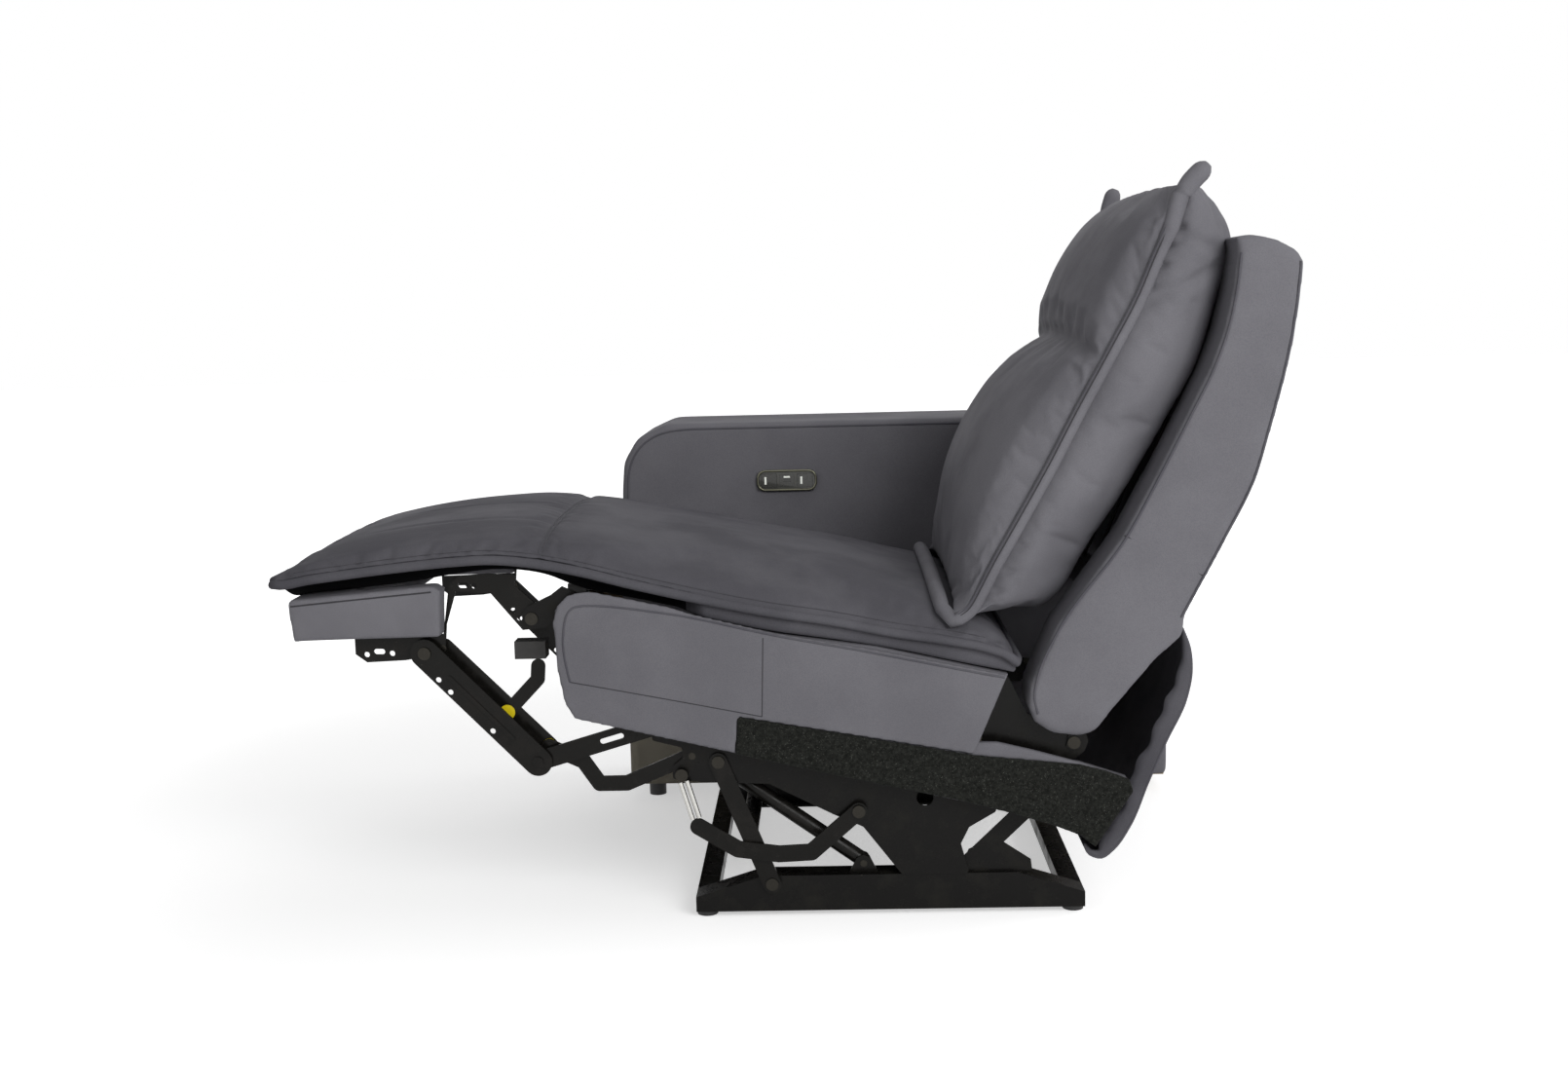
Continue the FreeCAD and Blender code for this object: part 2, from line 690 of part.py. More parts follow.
def control_panel():
    """Panel with two sprung buttons and a charging socket between them."""
    face = f"-({ARM_INNER_Y} - panel_thickness)"
    bezel = Pressing("control_bezel", "0")
    sketch = bezel.sketch(face)
    bezel.draw_polygon(sketch, rectangle("panel_x", "panel_z", "panel_length", "panel_height"))
    bezel.pad(sketch, "panel_thickness")
    bezel.round_edges()
    openings = [("panel_x - button_spacing / 2", "button_length", "button_height"),
                ("panel_x + button_spacing / 2", "button_length", "button_height"),
                ("panel_x", "socket_length", "socket_height")]
    for centre, length, height in openings:
        grown = rectangle(centre, "panel_z", f"{length} + 2 * button_clearance",
                          f"{height} + 2 * button_clearance")
        before = bezel.body.Shape.Volume
        window = bezel.sketch(face)
        bezel.draw_polygon(window, grown)
        pocket = bezel.body.newObject("PartDesign::Pocket", f"panel_window_{bezel.count}")
        pocket.Profile = window
        bind(pocket, "Length", "panel_thickness")
        document.recompute()
        if not pocket.Shape.Volume < before:
            raise RuntimeError("control_bezel: a window removes nothing")
    bezel.single()
    for label, centre in (("open_button", openings[0][0]), ("close_button", openings[1][0])):
        button = Pressing(label, "0")
        sketch = button.sketch(f"{face} + button_proud")
        button.draw_polygon(sketch, rectangle(centre, "panel_z", "button_length", "button_height"))
        button.pad(sketch, "button_depth")
        button.single()
    socket = Pressing("usb_socket", "0")
    sketch = socket.sketch(face)
    socket.draw_polygon(sketch, rectangle("panel_x", "panel_z", "socket_length + button_clearance",
                                          "socket_height + button_clearance"))
    socket.pad(sketch, "panel_thickness")
    mouth = socket.sketch(face)
    socket.draw_polygon(mouth, rectangle("panel_x", "panel_z", "slot_length", "slot_height"))
    pocket = socket.body.newObject("PartDesign::Pocket", "usb_mouth")
    pocket.Profile = mouth
    bind(pocket, "Length", "panel_thickness - layer_clearance")
    document.recompute()
    socket.single()


# Lifting links and drive

def lift_links():
    front = Pressing("front_lift_links")
    front.strap([place("front_lift_foot"), place("front_lift_head")], "lift_width", layer(0))
    front.holes([place("front_lift_foot"), place("front_lift_head")], "pin_radius + fit_clearance")
    front.mirrored()
    rear = Pressing("rear_lift_links")
    rear.strap([place("rear_lift_foot"), place("rear_lift_head")], "lift_width", layer(2))
    rear.holes([place("rear_lift_foot")], "pin_radius + fit_clearance")
    rivet(rear, place("rear_lift_head"), f"({layer(2)} + sheet_thickness)", "head_height")
    rear.mirrored()


def front_lift_tube():
    reach = f"({HALF_SPAN} - {layer(0)} - sheet_thickness)"
    item = rod("front_lift_tube", place("lift_tube"), f"{CENTRE_Y} - {reach}", f"2 * {reach}",
               "lift_tube_radius")
    finish(item, "front_lift_tube")


def tube_between(points, radius):
    """Round tube along straight runs, with a ball at each bend."""
    shape = None
    for start, end in zip(points, points[1:]):
        run = Part.makeCylinder(radius, start.distanceToPoint(end), start, end - start)
        shape = run if shape is None else shape.fuse(run)
    for bend in points:
        shape = shape.fuse(Part.makeSphere(radius, bend))
    return shape.removeSplitter()


def drive_links():
    radius = number("drive_tube_radius")
    offset = number(f"{HALF_SPAN} - {layer(5)} - drive_tube_radius")
    tubes = []
    for side in (-1, 1):
        shift = FreeCAD.Vector(0, number(CENTRE_Y) + side * offset, 0)
        points = [xz(name) + shift for name in ("drive_head", "drive_bend", "drive_foot")]
        tube = tube_between(points, radius)
        start = points[-1] - FreeCAD.Vector(0, 2 * radius, 0)
        bore = number("pin_radius + fit_clearance")
        tube = tube.cut(Part.makeCylinder(bore, 4 * radius, start, FreeCAD.Vector(0, 1, 0)))
        tubes.append(tube)
    feature("drive_links", Part.makeCompound(tubes))


def drive_cranks():
    cranks = Pressing("drive_cranks")
    cranks.strap([place("crank_axle"), place("drive_head")], "crank_width", layer(4))
    cranks.holes([place("crank_axle")], "axle_radius + fit_clearance")
    rivet(cranks, place("drive_head"), f"({layer(4)} - head_height)", "head_height")
    rivet(cranks, place("drive_head"), f"({layer(4)} + sheet_thickness)", "layer_clearance")
    cranks.mirrored()


def drive_torque_tube():
    wide = f"({HALF_SPAN} - {layer(4)} - sheet_thickness)"
    ends = f"({HALF_SPAN} - {layer(1)} + seat_clearance)"
    tube = rod("torque_tube_bar", place("crank_axle"), f"{CENTRE_Y} - {wide}", f"2 * {wide}",
               "torque_tube_radius")
    axle = rod("torque_tube_axle", place("crank_axle"), f"{CENTRE_Y} - {ends}", f"2 * {ends}",
               "axle_radius")
    gather("Part::MultiFuse", "drive_torque_tube", [tube, axle])


def actuator_arm():
    arm = Pressing("actuator_arm", CENTRE_Y)
    sketch = arm.sketch("actuator_arm_thickness / 2")
    arm.draw_slot(sketch, place("crank_axle"), place("actuator_arm_tip"), "actuator_arm_width")
    arm.pad(sketch, "actuator_arm_thickness")
    collar = arm.sketch("actuator_arm_thickness / 2")
    arm.draw_circle(collar, place("crank_axle"), "torque_tube_radius + rail_wall")
    arm.pad(collar, "actuator_arm_thickness")
    arm.holes([place("crank_axle")], "torque_tube_radius + fit_clearance")
    arm.single()


def actuator():
    """Gearbox and motor on the rear board, a rail running forward, and the block it drives."""
    low_y = f"({CENTRE_Y} + actuator_y - {{0}} / 2)"
    gearbox_x = "(rear_board_x - gearbox_length)"
    gearbox = box("actuator_gearbox",
                  (gearbox_x, low_y.format("gearbox_width"), "actuator_z - gearbox_height / 2"),
                  ("gearbox_length", "gearbox_width", "gearbox_height"))
    finish(gearbox, "actuator_gearbox")
    motor = rod("actuator_motor", (f"{gearbox_x} + gearbox_length / 2", "actuator_z"),
                f"{CENTRE_Y} + actuator_y + gearbox_width / 2", "motor_length", "motor_radius")
    finish(motor, "actuator_motor")
    rail = box("actuator_rail", ("actuator_rail_front_x", low_y.format("actuator_rail_size"),
                                 "actuator_z - actuator_rail_size / 2"),
               (f"{gearbox_x} - actuator_rail_front_x", "actuator_rail_size", "actuator_rail_size"))
    finish(rail, "actuator_rail")
    outer_size = "(actuator_rail_size + 2 * slider_clearance + 2 * slider_wall)"
    inner_size = "(actuator_rail_size + 2 * slider_clearance)"
    x = "actuator_arm_tip_x - slider_length / 2"
    block = box("slider_block", (x, low_y.format(outer_size), f"actuator_z - {outer_size} / 2"),
                ("slider_length", outer_size, outer_size))
    passage = box("slider_passage", (x, low_y.format(inner_size), f"actuator_z - {inner_size} / 2"),
                  ("slider_length", inner_size, inner_size))
    sleeve = cut("slider_sleeve", block, passage)
    lug_start = f"({CENTRE_Y} + actuator_arm_thickness / 2 + layer_clearance)"
    lug = rod("slider_lug", place("actuator_arm_tip"), lug_start,
              f"{low_y.format(outer_size)} - {lug_start}", "slider_lug_radius")
    gather("Part::MultiFuse", "actuator_slider", [sleeve, lug])


# Seat

def seat_plates():
    plates = Pressing("seat_plates")
    plates.polygon(outline("seat_plate"), layer(1))
    plates.round_edges()
    pivots = ("front_lift_head", "rear_lift_head", "lower_link_root", "cross_link_root")
    plates.holes([place(name) for name in pivots], "pin_radius + fit_clearance")
    plates.holes([place("crank_axle")], "axle_radius + fit_clearance")
    plates.holes([place("seat_plate_hole")], "3 * small_hole_radius")
    plates.mirrored()


def seat_pivot_pins():
    """Pins of the seat plates, the spacers that hold the plates off the boards, and the hinge pins."""
    pins = Pressing("seat_pivot_pins")
    for name in ("spacer_front", "spacer_middle", "spacer_rear"):
        pins.disc(place(name), "head_radius", "0", layer(1))
    for name in ("bracket_spacer_front", "bracket_spacer_rear"):
        pins.disc(place(name), "head_radius", "0", BRACKET_DEPTH)
    pins.disc(place("stay_bolt"), "head_radius", f"({OUTER} - 2 * head_height)", "2 * head_height")
    pins.disc(place("stay_bolt"), "head_radius", "-layer_clearance", f"{layer(1)} + layer_clearance")
    pins.disc(place("stay_pin"), "head_radius", OUTER, f"{layer(1)} - {OUTER}")
    first = "(hinge_clearance - seat_clearance)"
    pins.disc(place("back_hinge"), "axle_radius", first,
              f"{BRACKET_DEPTH} + sheet_thickness + seat_clearance - {first}")
    pins.disc(place("back_hinge"), "head_radius", f"({first} - head_height)", "head_height")
    plate_inside = f"{layer(1)} + sheet_thickness"
    add_pin(pins, place("front_lift_head"), layer(0), plate_inside, "outside")
    add_pin(pins, place("lower_link_root"), layer(0), plate_inside, "inside")
    add_pin(pins, place("cross_link_root"), layer(1), f"{layer(2)} + sheet_thickness", "inside")
    pins.disc(place("rear_lift_head"), "pin_radius", f"({layer(1)} - seat_clearance)",
              "sheet_thickness + 2 * seat_clearance")
    pins.mirrored()


def stays():
    """Curved stay hung below each seat plate, and the two bright rods at its front end."""
    straps = Pressing("balance_stays")
    bends = ("stay_front", "stay_low_front", "stay_low_middle", "stay_low_rear", "stay_bolt")
    straps.strap([place(name) for name in bends], "stay_width", OUTER)
    straps.mirrored()
    pin, end = xz("stay_pin"), xz("stay_front")
    along = (end - pin).normalize()
    across = FreeCAD.Vector(along.z, 0, -along.x) * (number("stay_rod_spacing") / 2)
    start = pin + along * number("head_radius + seat_clearance")
    finish_point = end - along * number("stay_width / 2 + seat_clearance")
    depth = number(f"{HALF_SPAN} - {OUTER} - sheet_thickness / 2")
    rods = []
    for side in (-1, 1):
        for offset in (across, across * -1):
            shift = FreeCAD.Vector(0, number(CENTRE_Y) + side * depth, 0) + offset
            rods.append(Part.makeCylinder(number("stay_rod_radius"), start.distanceToPoint(finish_point),
                                          start + shift, along))
    feature("stay_rods", Part.makeCompound(rods))


def boards_and_covers():
    for label, depth, thickness in (("board", "-board_thickness", "board_thickness"),
                                    ("side_cover", COVER, "cover_thickness"),
                                    ("felt", COVER, "cover_thickness")):
        names = {"board": "seat_side_boards", "side_cover": "seat_side_covers", "felt": "felt_strips"}
        piece = Pressing(names[label])
        piece.polygon(outline(label), depth, thickness)
        piece.mirrored()
    wide = HALF_SPAN
    narrow = f"({HALF_SPAN} - {layer(3)} - bumper_width - head_height)"
    for label, x, thickness in (("seat_front_board", "front_board_x", "board_thickness"),
                                ("seat_front_cover", "front_board_x - front_cover_thickness",
                                 "front_cover_thickness")):
        upper = box(label + "_rail", (x, f"{CENTRE_Y} - {wide}", "front_rail_bottom_z"),
                    (thickness, f"2 * {wide}", "front_board_top_z - front_rail_bottom_z"))
        lower = box(label + "_panel", (x, f"{CENTRE_Y} - {narrow}", "front_board_bottom_z"),
                    (thickness, f"2 * {narrow}", "front_board_top_z - front_board_bottom_z"))
        gather("Part::MultiFuse", label, [upper, lower])
    inside = f"({HALF_SPAN} - {BRACKET_DEPTH} - sheet_thickness - seat_clearance)"
    rear = box("seat_rear_board", ("rear_board_x", f"{CENTRE_Y} - {inside}", "rear_board_bottom_z"),
               ("board_thickness", f"2 * {inside}", "rear_board_height"))
    finish(rear, "seat_rear_board")


def wires(label, start, end, half_width):
    """A row of spring wires between two boards."""
    count = int(number("spring_count"))
    radius = number("spring_radius")
    bars = []
    for index in range(count):
        y = number(CENTRE_Y) + half_width * (2 * index / (count - 1) - 1)
        low = FreeCAD.Vector(start.x, y, start.z)
        high = FreeCAD.Vector(end.x, y, end.z)
        bars.append(Part.makeCylinder(radius, low.distanceToPoint(high), low, high - low))
    feature(label, Part.makeCompound(bars))


def seat_springs():
    lift = "spring_radius + seat_clearance"
    start = FreeCAD.Vector(number("front_board_x + board_thickness"), 0,
                           number(f"front_board_top_z + {lift}"))
    end = FreeCAD.Vector(number("rear_board_x + board_thickness / 2"), 0,
                         number(f"rear_board_bottom_z + rear_board_height + {lift}"))
    wires("seat_springs", start, end, number(HALF_SPAN) * number("spring_spread"))


def knee_arms():
    arms = Pressing("seat_knee_arms")
    arms.polygon(outline("knee_arm"), "0")
    arms.holes([place("knee")], "pin_radius + fit_clearance")
    arms.mirrored()


def back_brackets():
    brackets = Pressing("back_brackets")
    brackets.polygon(outline("back_bracket"), BRACKET_DEPTH)
    brackets.round_edges()
    brackets.holes([place("back_hinge")], "axle_radius + fit_clearance")
    brackets.mirrored()


def crowned_wire(base, welt, across, crown):
    """Closed section: flat base, straight sides to the welt, rounded shoulders and a crown."""
    half = across / 2
    shoulder = half * 0.76
    y_axis = FreeCAD.Vector(0, 1, 0)
    out = (welt - base).normalize()
    corner = [base - y_axis * half, welt - y_axis * half, welt + y_axis * half, base + y_axis * half]
    rise = out * (crown * 0.74)
    left = welt - y_axis * shoulder + rise
    right = welt + y_axis * shoulder + rise
    bulge = out * (crown * 0.52)
    left_mid = welt - y_axis * (half * 0.925) + bulge
    right_mid = welt + y_axis * (half * 0.925) + bulge
    edges = [Part.LineSegment(corner[0], corner[1]).toShape(),
             Part.Arc(corner[1], left_mid, left).toShape(),
             Part.Arc(left, welt + out * crown, right).toShape(),
             Part.Arc(right, right_mid, corner[2]).toShape(),
             Part.LineSegment(corner[2], corner[3]).toShape(),
             Part.LineSegment(corner[3], corner[0]).toShape()]
    return Part.Wire(edges)


def cushion(label, sections):
    """Padded piece lofted through crowned sections given as base, welt and crown."""
    across = number("seat_width - 2 * cushion_inset")
    centre = FreeCAD.Vector(0, number(CENTRE_Y), 0)
    rings = [crowned_wire(base + centre, welt + centre, across, crown) for base, welt, crown in sections]
    feature(label, Part.makeLoft(rings, True, True))


def flat_sections(stations):
    for x, low, welt, crown in stations:
        yield FreeCAD.Vector(x, 0, low), FreeCAD.Vector(x, 0, welt), crown


def leaning_sections(stations):
    for rear_x, rear_z, welt_x, welt_z, crown in stations:
        yield FreeCAD.Vector(rear_x, 0, rear_z), FreeCAD.Vector(welt_x, 0, welt_z), crown


# Footrest and its links

def footrest():
    """Upholstered frame of two side rails and a front beam, and the steel plates under its rails."""
    block = Pressing("footrest_block")
    half = f"({HALF_SPAN} + board_thickness)"
    sketch = block.sketch(half)
    block.draw_polygon(sketch, outline("footrest_block"))
    block.pad(sketch, f"2 * {half}")
    block.round_edges()
    inner = f"({HALF_SPAN} - {layer(3)})"
    block.hollow([("footrest_beam_x", f"-{inner}"), ("knee_x", f"-{inner}"), ("knee_x", inner),
                  ("footrest_beam_x", inner)],
                 "footrest_block_4_z - corner_radius", "2 * (footrest_block_1_z - footrest_block_4_z)")
    block.single()
    plates = Pressing("footrest_brackets")
    plates.polygon(outline("footrest_plate"), layer(1))
    pivots = ("knee", "channel_foot", "rear_link_foot")
    plates.holes([place(name) for name in pivots], "pin_radius + fit_clearance")
    plates.holes([place("plate_hole_front"), place("plate_hole_rear")], "small_hole_radius")
    plates.slot_hole(place("plate_slot_front"), place("plate_slot_rear"), "2 * small_hole_radius")
    plates.holes([place(f"bracket_hole_{row}") for row in ("high", "middle", "low")], "small_hole_radius")
    plates.slot_hole(place("bracket_slot_front"), place("bracket_slot_rear"), "2 * small_hole_radius")
    plates.mirrored()
    pins = Pressing("footrest_pins")
    plate_inside = f"{layer(1)} + sheet_thickness"
    add_pin(pins, place("knee"), "0", plate_inside, "outside")
    add_pin(pins, place("channel_foot"), OUTER, plate_inside, "outside")
    add_pin(pins, place("rear_link_foot"), layer(1), f"{layer(3)} + sheet_thickness", "inside")
    pins.mirrored()


def footrest_links():
    lower = Pressing("lower_ottoman_links")
    lower.strap([place("lower_link_root"), place("lower_knuckle")], "lower_link_width", layer(0))
    lower.holes([place("lower_link_root")], "pin_radius + fit_clearance")
    lower.slot_hole(place("lower_slot_front"), place("lower_slot_rear"), "2 * small_hole_radius")
    rivet(lower, place("lower_knuckle"), f"({layer(0)} + sheet_thickness)", "layer_clearance")
    lower.mirrored()
    cross = Pressing("cross_ottoman_links")
    cross.strap([place("cross_knuckle"), place("cross_bend_high"), place("cross_bend_low"),
                 place("cross_bend_rear"), place("cross_link_root"), place("cross_tail")],
                "cross_link_width", layer(2))
    cross.holes([place("cross_link_root")], "pin_radius + fit_clearance")
    rivet(cross, place("cross_knuckle"), f"({layer(2)} - layer_clearance)", "layer_clearance")
    cross.mirrored()
    channel = Pressing("channel_ottoman_links")
    channel.strap([place("channel_foot"), place("lower_knuckle")], "channel_width", OUTER)
    rib = [along("channel_foot", "lower_knuckle", share) for share in ("0.22", "0.78")]
    channel.strap(rib, "rib_width", f"({OUTER} - rib_height)", "rib_height")
    channel.holes([place("channel_foot")], "pin_radius + fit_clearance")
    rivet(channel, place("lower_knuckle"), f"({OUTER} - head_height)", "head_height")
    channel.holes([place("channel_hole_high"), place("channel_hole_middle"), place("channel_hole_low")],
                  "small_hole_radius")
    channel.mirrored()
    rear = Pressing("rear_ottoman_links")
    rear.strap([place("rear_link_foot"), place("cross_knuckle")], "rear_link_width", layer(3))
    rear.strap([place("strap_root"), place("strap_elbow"), place("strap_head")], "bumper_strap_width",
               layer(3))
    rear.holes([place("rear_link_foot")], "pin_radius + fit_clearance")
    rivet(rear, place("cross_knuckle"), f"({layer(3)} + sheet_thickness)", "head_height")
    rear.mirrored()
    bumpers = Pressing("knee_bumpers")
    bumpers.polygon(rectangle("bumper_x", "bumper_z", "bumper_length", "bumper_height"), layer(3),
                    "bumper_width")
    bumpers.mirrored()


def washers():
    outer = Pressing("rear_link_washers")
    for name in ("strap_root", "cross_knuckle"):
        outer.disc(place(name), "washer_radius", f"({layer(3)} - washer_thickness)", "washer_thickness")
    outer.mirrored()
    inner = Pressing("seat_washers")
    inner.disc(place("cross_link_root"), "washer_radius", f"({layer(1)} + sheet_thickness)",
               "washer_thickness")
    inner.holes([place("cross_link_root")], "pin_radius + fit_clearance")
    inner.mirrored()


# Back

def back_shell():
    boards = Pressing("back_side_boards")
    boards.polygon(outline("back_board"), "-board_thickness", "board_thickness + hinge_clearance")
    boards.mirrored()
    covers = Pressing("back_side_covers")
    covers.polygon(outline("back_board"), COVER, "cover_thickness")
    covers.mirrored()
    hinges = Pressing("back_hinge_plates")
    hinges.polygon(outline("back_hinge_plate"), "hinge_clearance")
    hinges.holes([place("back_hinge")], "axle_radius + fit_clearance")
    hinges.mirrored()
    half = f"({HALF_SPAN} - hinge_clearance)"
    for label in ("back_panel", "upper_skirt", "lower_skirt"):
        sheet_piece = Pressing(label)
        sketch = sheet_piece.sketch(half)
        sheet_piece.draw_polygon(sketch, outline(label))
        sheet_piece.pad(sketch, f"2 * {half}")
        sheet_piece.single()
    rails = []
    for name in ("back_rail_high", "back_rail_low"):
        low = (f"{name}_x - back_rail_width / 2", f"{CENTRE_Y} - {half}", f"{name}_z - back_rail_height / 2")
        rails.append(box(name, low, ("back_rail_width", f"2 * {half}", "back_rail_height")))
    gather("Part::Compound", "back_cross_rails", rails)
    lift = FreeCAD.Vector(0, 0, number("(back_rail_height + spring_radius) / 2"))
    reach = number(half) * number("spring_spread")
    wires("back_springs", xz("back_rail_low") + lift, xz("back_rail_high") - lift, reach)


def build():
    fill_sheet()
    floor_glides()
    base_rails()
    cross_members()
    power_inlet()
    base_stands()
    base_pivot_pins()
    arm_brackets()
    arm_cover()
    arm_frame()
    arm_lining()
    control_panel()
    lift_links()
    front_lift_tube()
    drive_links()
    drive_cranks()
    drive_torque_tube()
    actuator_arm()
    actuator()
    seat_plates()
    seat_pivot_pins()
    stays()
    boards_and_covers()
    seat_springs()
    knee_arms()
    back_brackets()
    cushion("seat_cushion", flat_sections(SEAT_STATIONS))
    footrest()
    footrest_links()
    washers()
    cushion("footrest_pad", flat_sections(PAD_STATIONS))
    back_shell()
    cushion("back_cushion", leaning_sections(BACK_STATIONS))
    cushion("head_cushion", leaning_sections(HEAD_STATIONS))


def check_and_write():
    document.recompute()
    for item in document.Objects:
        if "Invalid" in item.State or "Error" in item.State:
            raise RuntimeError(f"{item.Label}: {item.State}")
    os.makedirs("parts", exist_ok=True)
    for item in pieces:
        shape = item.Shape
        if shape.isNull() or not shape.isValid() or not shape.Solids:
            raise RuntimeError(f"{item.Label}: shape is not a valid solid")
    for item in pieces:
        item.Shape.exportStep(f"parts/{item.Label}.step")
    print(len(pieces), "pieces written")


build()
check_and_write()
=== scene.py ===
import math

import bpy
import numpy as np
from mathutils import Matrix, Vector
from mathutils.bvhtree import BVHTree


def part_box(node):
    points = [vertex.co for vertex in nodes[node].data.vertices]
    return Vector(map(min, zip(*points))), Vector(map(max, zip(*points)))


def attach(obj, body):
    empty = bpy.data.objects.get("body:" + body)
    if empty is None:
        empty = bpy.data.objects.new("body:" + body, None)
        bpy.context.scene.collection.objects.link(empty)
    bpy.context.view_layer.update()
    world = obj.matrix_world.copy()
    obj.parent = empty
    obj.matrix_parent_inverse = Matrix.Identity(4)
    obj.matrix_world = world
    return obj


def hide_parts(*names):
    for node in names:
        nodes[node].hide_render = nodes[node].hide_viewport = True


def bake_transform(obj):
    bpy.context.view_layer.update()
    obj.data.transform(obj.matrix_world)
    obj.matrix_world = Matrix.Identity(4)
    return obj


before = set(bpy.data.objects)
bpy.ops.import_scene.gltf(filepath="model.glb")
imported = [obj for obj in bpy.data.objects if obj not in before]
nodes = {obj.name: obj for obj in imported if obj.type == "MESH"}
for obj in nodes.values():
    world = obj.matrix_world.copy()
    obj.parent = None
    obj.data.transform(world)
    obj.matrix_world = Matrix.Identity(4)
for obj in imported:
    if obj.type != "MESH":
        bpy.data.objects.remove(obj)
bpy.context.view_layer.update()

# The camera stands a little below the top of the back and a little behind the middle of the
# chair, and looks slightly down at the side that has no arm.
CAMERA_PLACE = Vector((0.073, -2.728, 0.864))
CAMERA_TURN = math.radians(1.56)
CAMERA_DIP = math.radians(7.83)
CAMERA_ROLL = math.radians(-1.40)
IMAGE_WIDTH = 1610
FOCAL_PIXELS = 1743

forward = Vector((-math.sin(CAMERA_TURN) * math.cos(CAMERA_DIP),
                  math.cos(CAMERA_TURN) * math.cos(CAMERA_DIP), -math.sin(CAMERA_DIP)))
level_right = forward.cross(Vector((0, 0, 1))).normalized()
level_up = level_right.cross(forward)
right = level_right * math.cos(CAMERA_ROLL) + level_up * math.sin(CAMERA_ROLL)
up = level_up * math.cos(CAMERA_ROLL) - level_right * math.sin(CAMERA_ROLL)
lens = bpy.data.cameras.new("camera")
lens.sensor_width = 36
lens.lens = FOCAL_PIXELS / IMAGE_WIDTH * lens.sensor_width
camera = bpy.data.objects.new("camera", lens)
camera.matrix_world = Matrix((
    (right.x, up.x, -forward.x, CAMERA_PLACE.x),
    (right.y, up.y, -forward.y, CAMERA_PLACE.y),
    (right.z, up.z, -forward.z, CAMERA_PLACE.z),
    (0, 0, 0, 1)))
bpy.context.scene.collection.objects.link(camera)
bpy.context.scene.camera = camera
bpy.context.scene.view_settings.view_transform = "Standard"


# The floor is a sweep of white studio paper, matt, with only a soft shadow under the mechanism.
# It glows more towards its edge, so that it runs into the white background.
def linear(code):
    """Linear colour with alpha from a hex code."""
    channels = [int(code[index:index + 2], 16) / 255 for index in (1, 3, 5)]
    return [c / 12.92 if c <= 0.04045 else ((c + 0.055) / 1.055) ** 2.4 for c in channels] + [1]


def wire(node, inputs):
    """Give each input a value, or link it to another node's output."""
    for name, value in inputs.items():
        if isinstance(value, bpy.types.NodeSocket):
            node.id_data.links.new(value, node.inputs[name])
        else:
            node.inputs[name].default_value = value


def add(owner, kind, inputs=(), output=0, **settings):
    """Add a shader node with its settings and links, and give one of its outputs."""
    node = owner.node_tree.nodes.new("ShaderNode" + kind)
    for name, value in settings.items():
        setattr(node, name, value)
    wire(node, dict(inputs))
    return node.outputs[output]


def new_material(name, inputs=()):
    """A material and its main shader; an input that is the same all over is set on the shader."""
    material = bpy.data.materials.new(name)
    material.use_nodes = True
    shader = material.node_tree.nodes["Principled BSDF"]
    wire(shader, dict(inputs))
    return material, shader


def background_ray(owner):
    """1 for rays that show the background: seen directly, mirrored or through glass."""
    direct = add(owner, "LightPath", output="Is Camera Ray")
    mirrored = add(owner, "LightPath", output="Is Glossy Ray")
    through = add(owner, "LightPath", output="Is Transmission Ray")
    either = add(owner, "Math", {0: direct, 1: mirrored}, operation="MAXIMUM")
    return add(owner, "Math", {0: either, 1: through}, operation="MAXIMUM")


def new_object(name, data):
    item = bpy.data.objects.new(name, data)
    bpy.context.scene.collection.objects.link(item)
    return item


def new_mesh(name, points, faces, material):
    """Object with one mesh of the given points and faces."""
    mesh = bpy.data.meshes.new(name)
    mesh.from_pydata(points, [], faces)
    mesh.materials.append(material)
    return new_object(name, mesh)


FLOOR_HALF = 20
FLOOR_DROP = 0.0005
GLOW_NEAR, GLOW_FAR = 0.50, 0.95
GLOW_START, GLOW_END = 0.9, 2.6
paper, paper_shader = new_material("studio_paper", {
    "Base Color": linear("#f2f2f2"), "Roughness": 0.9, "Emission Color": linear("#ffffff")})
middle_distance = add(paper, "VectorMath", {0: add(paper, "TexCoord", output="Object")},
                      output="Value", operation="LENGTH")
glow = add(paper, "MapRange", {"Value": middle_distance, "From Min": GLOW_START, "From Max": GLOW_END,
                               "To Min": GLOW_NEAR, "To Max": GLOW_FAR}, interpolation_type="SMOOTHSTEP")
shown_glow = add(paper, "Math", {0: background_ray(paper), 1: glow}, operation="MULTIPLY")
wire(paper_shader, {"Emission Strength": shown_glow})
floor_corners = [(-FLOOR_HALF, -FLOOR_HALF, 0), (FLOOR_HALF, -FLOOR_HALF, 0),
                 (FLOOR_HALF, FLOOR_HALF, 0), (-FLOOR_HALF, FLOOR_HALF, 0)]
floor = new_mesh("floor", floor_corners, [(0, 1, 2, 3)], paper)
floor.location.z = -FLOOR_DROP


# Studio light: a pale room, and a large soft box to the right of the camera. Four weaker ones,
# left of it, beyond the back, above and behind the arm, keep the other sides readable.
ROOM_LIGHT = 0.24
world = bpy.data.worlds.new("room")
world.use_nodes = True
bpy.context.scene.world = world
room_level = add(world, "Mix", {"Factor": background_ray(world), "A": ROOM_LIGHT, "B": 1.0})
wire(world.node_tree.nodes["Background"], {"Color": linear("#ffffff"), "Strength": room_level})


def soft_box(name, place, aim, width, height, power):
    lamp = bpy.data.lights.new(name, "AREA")
    lamp.shape = "RECTANGLE"
    lamp.size = width
    lamp.size_y = height
    lamp.energy = power
    item = new_object(name, lamp)
    item.location = place
    item.rotation_mode = "QUATERNION"
    item.rotation_quaternion = (Vector(aim) - Vector(place)).to_track_quat("-Z", "Y")


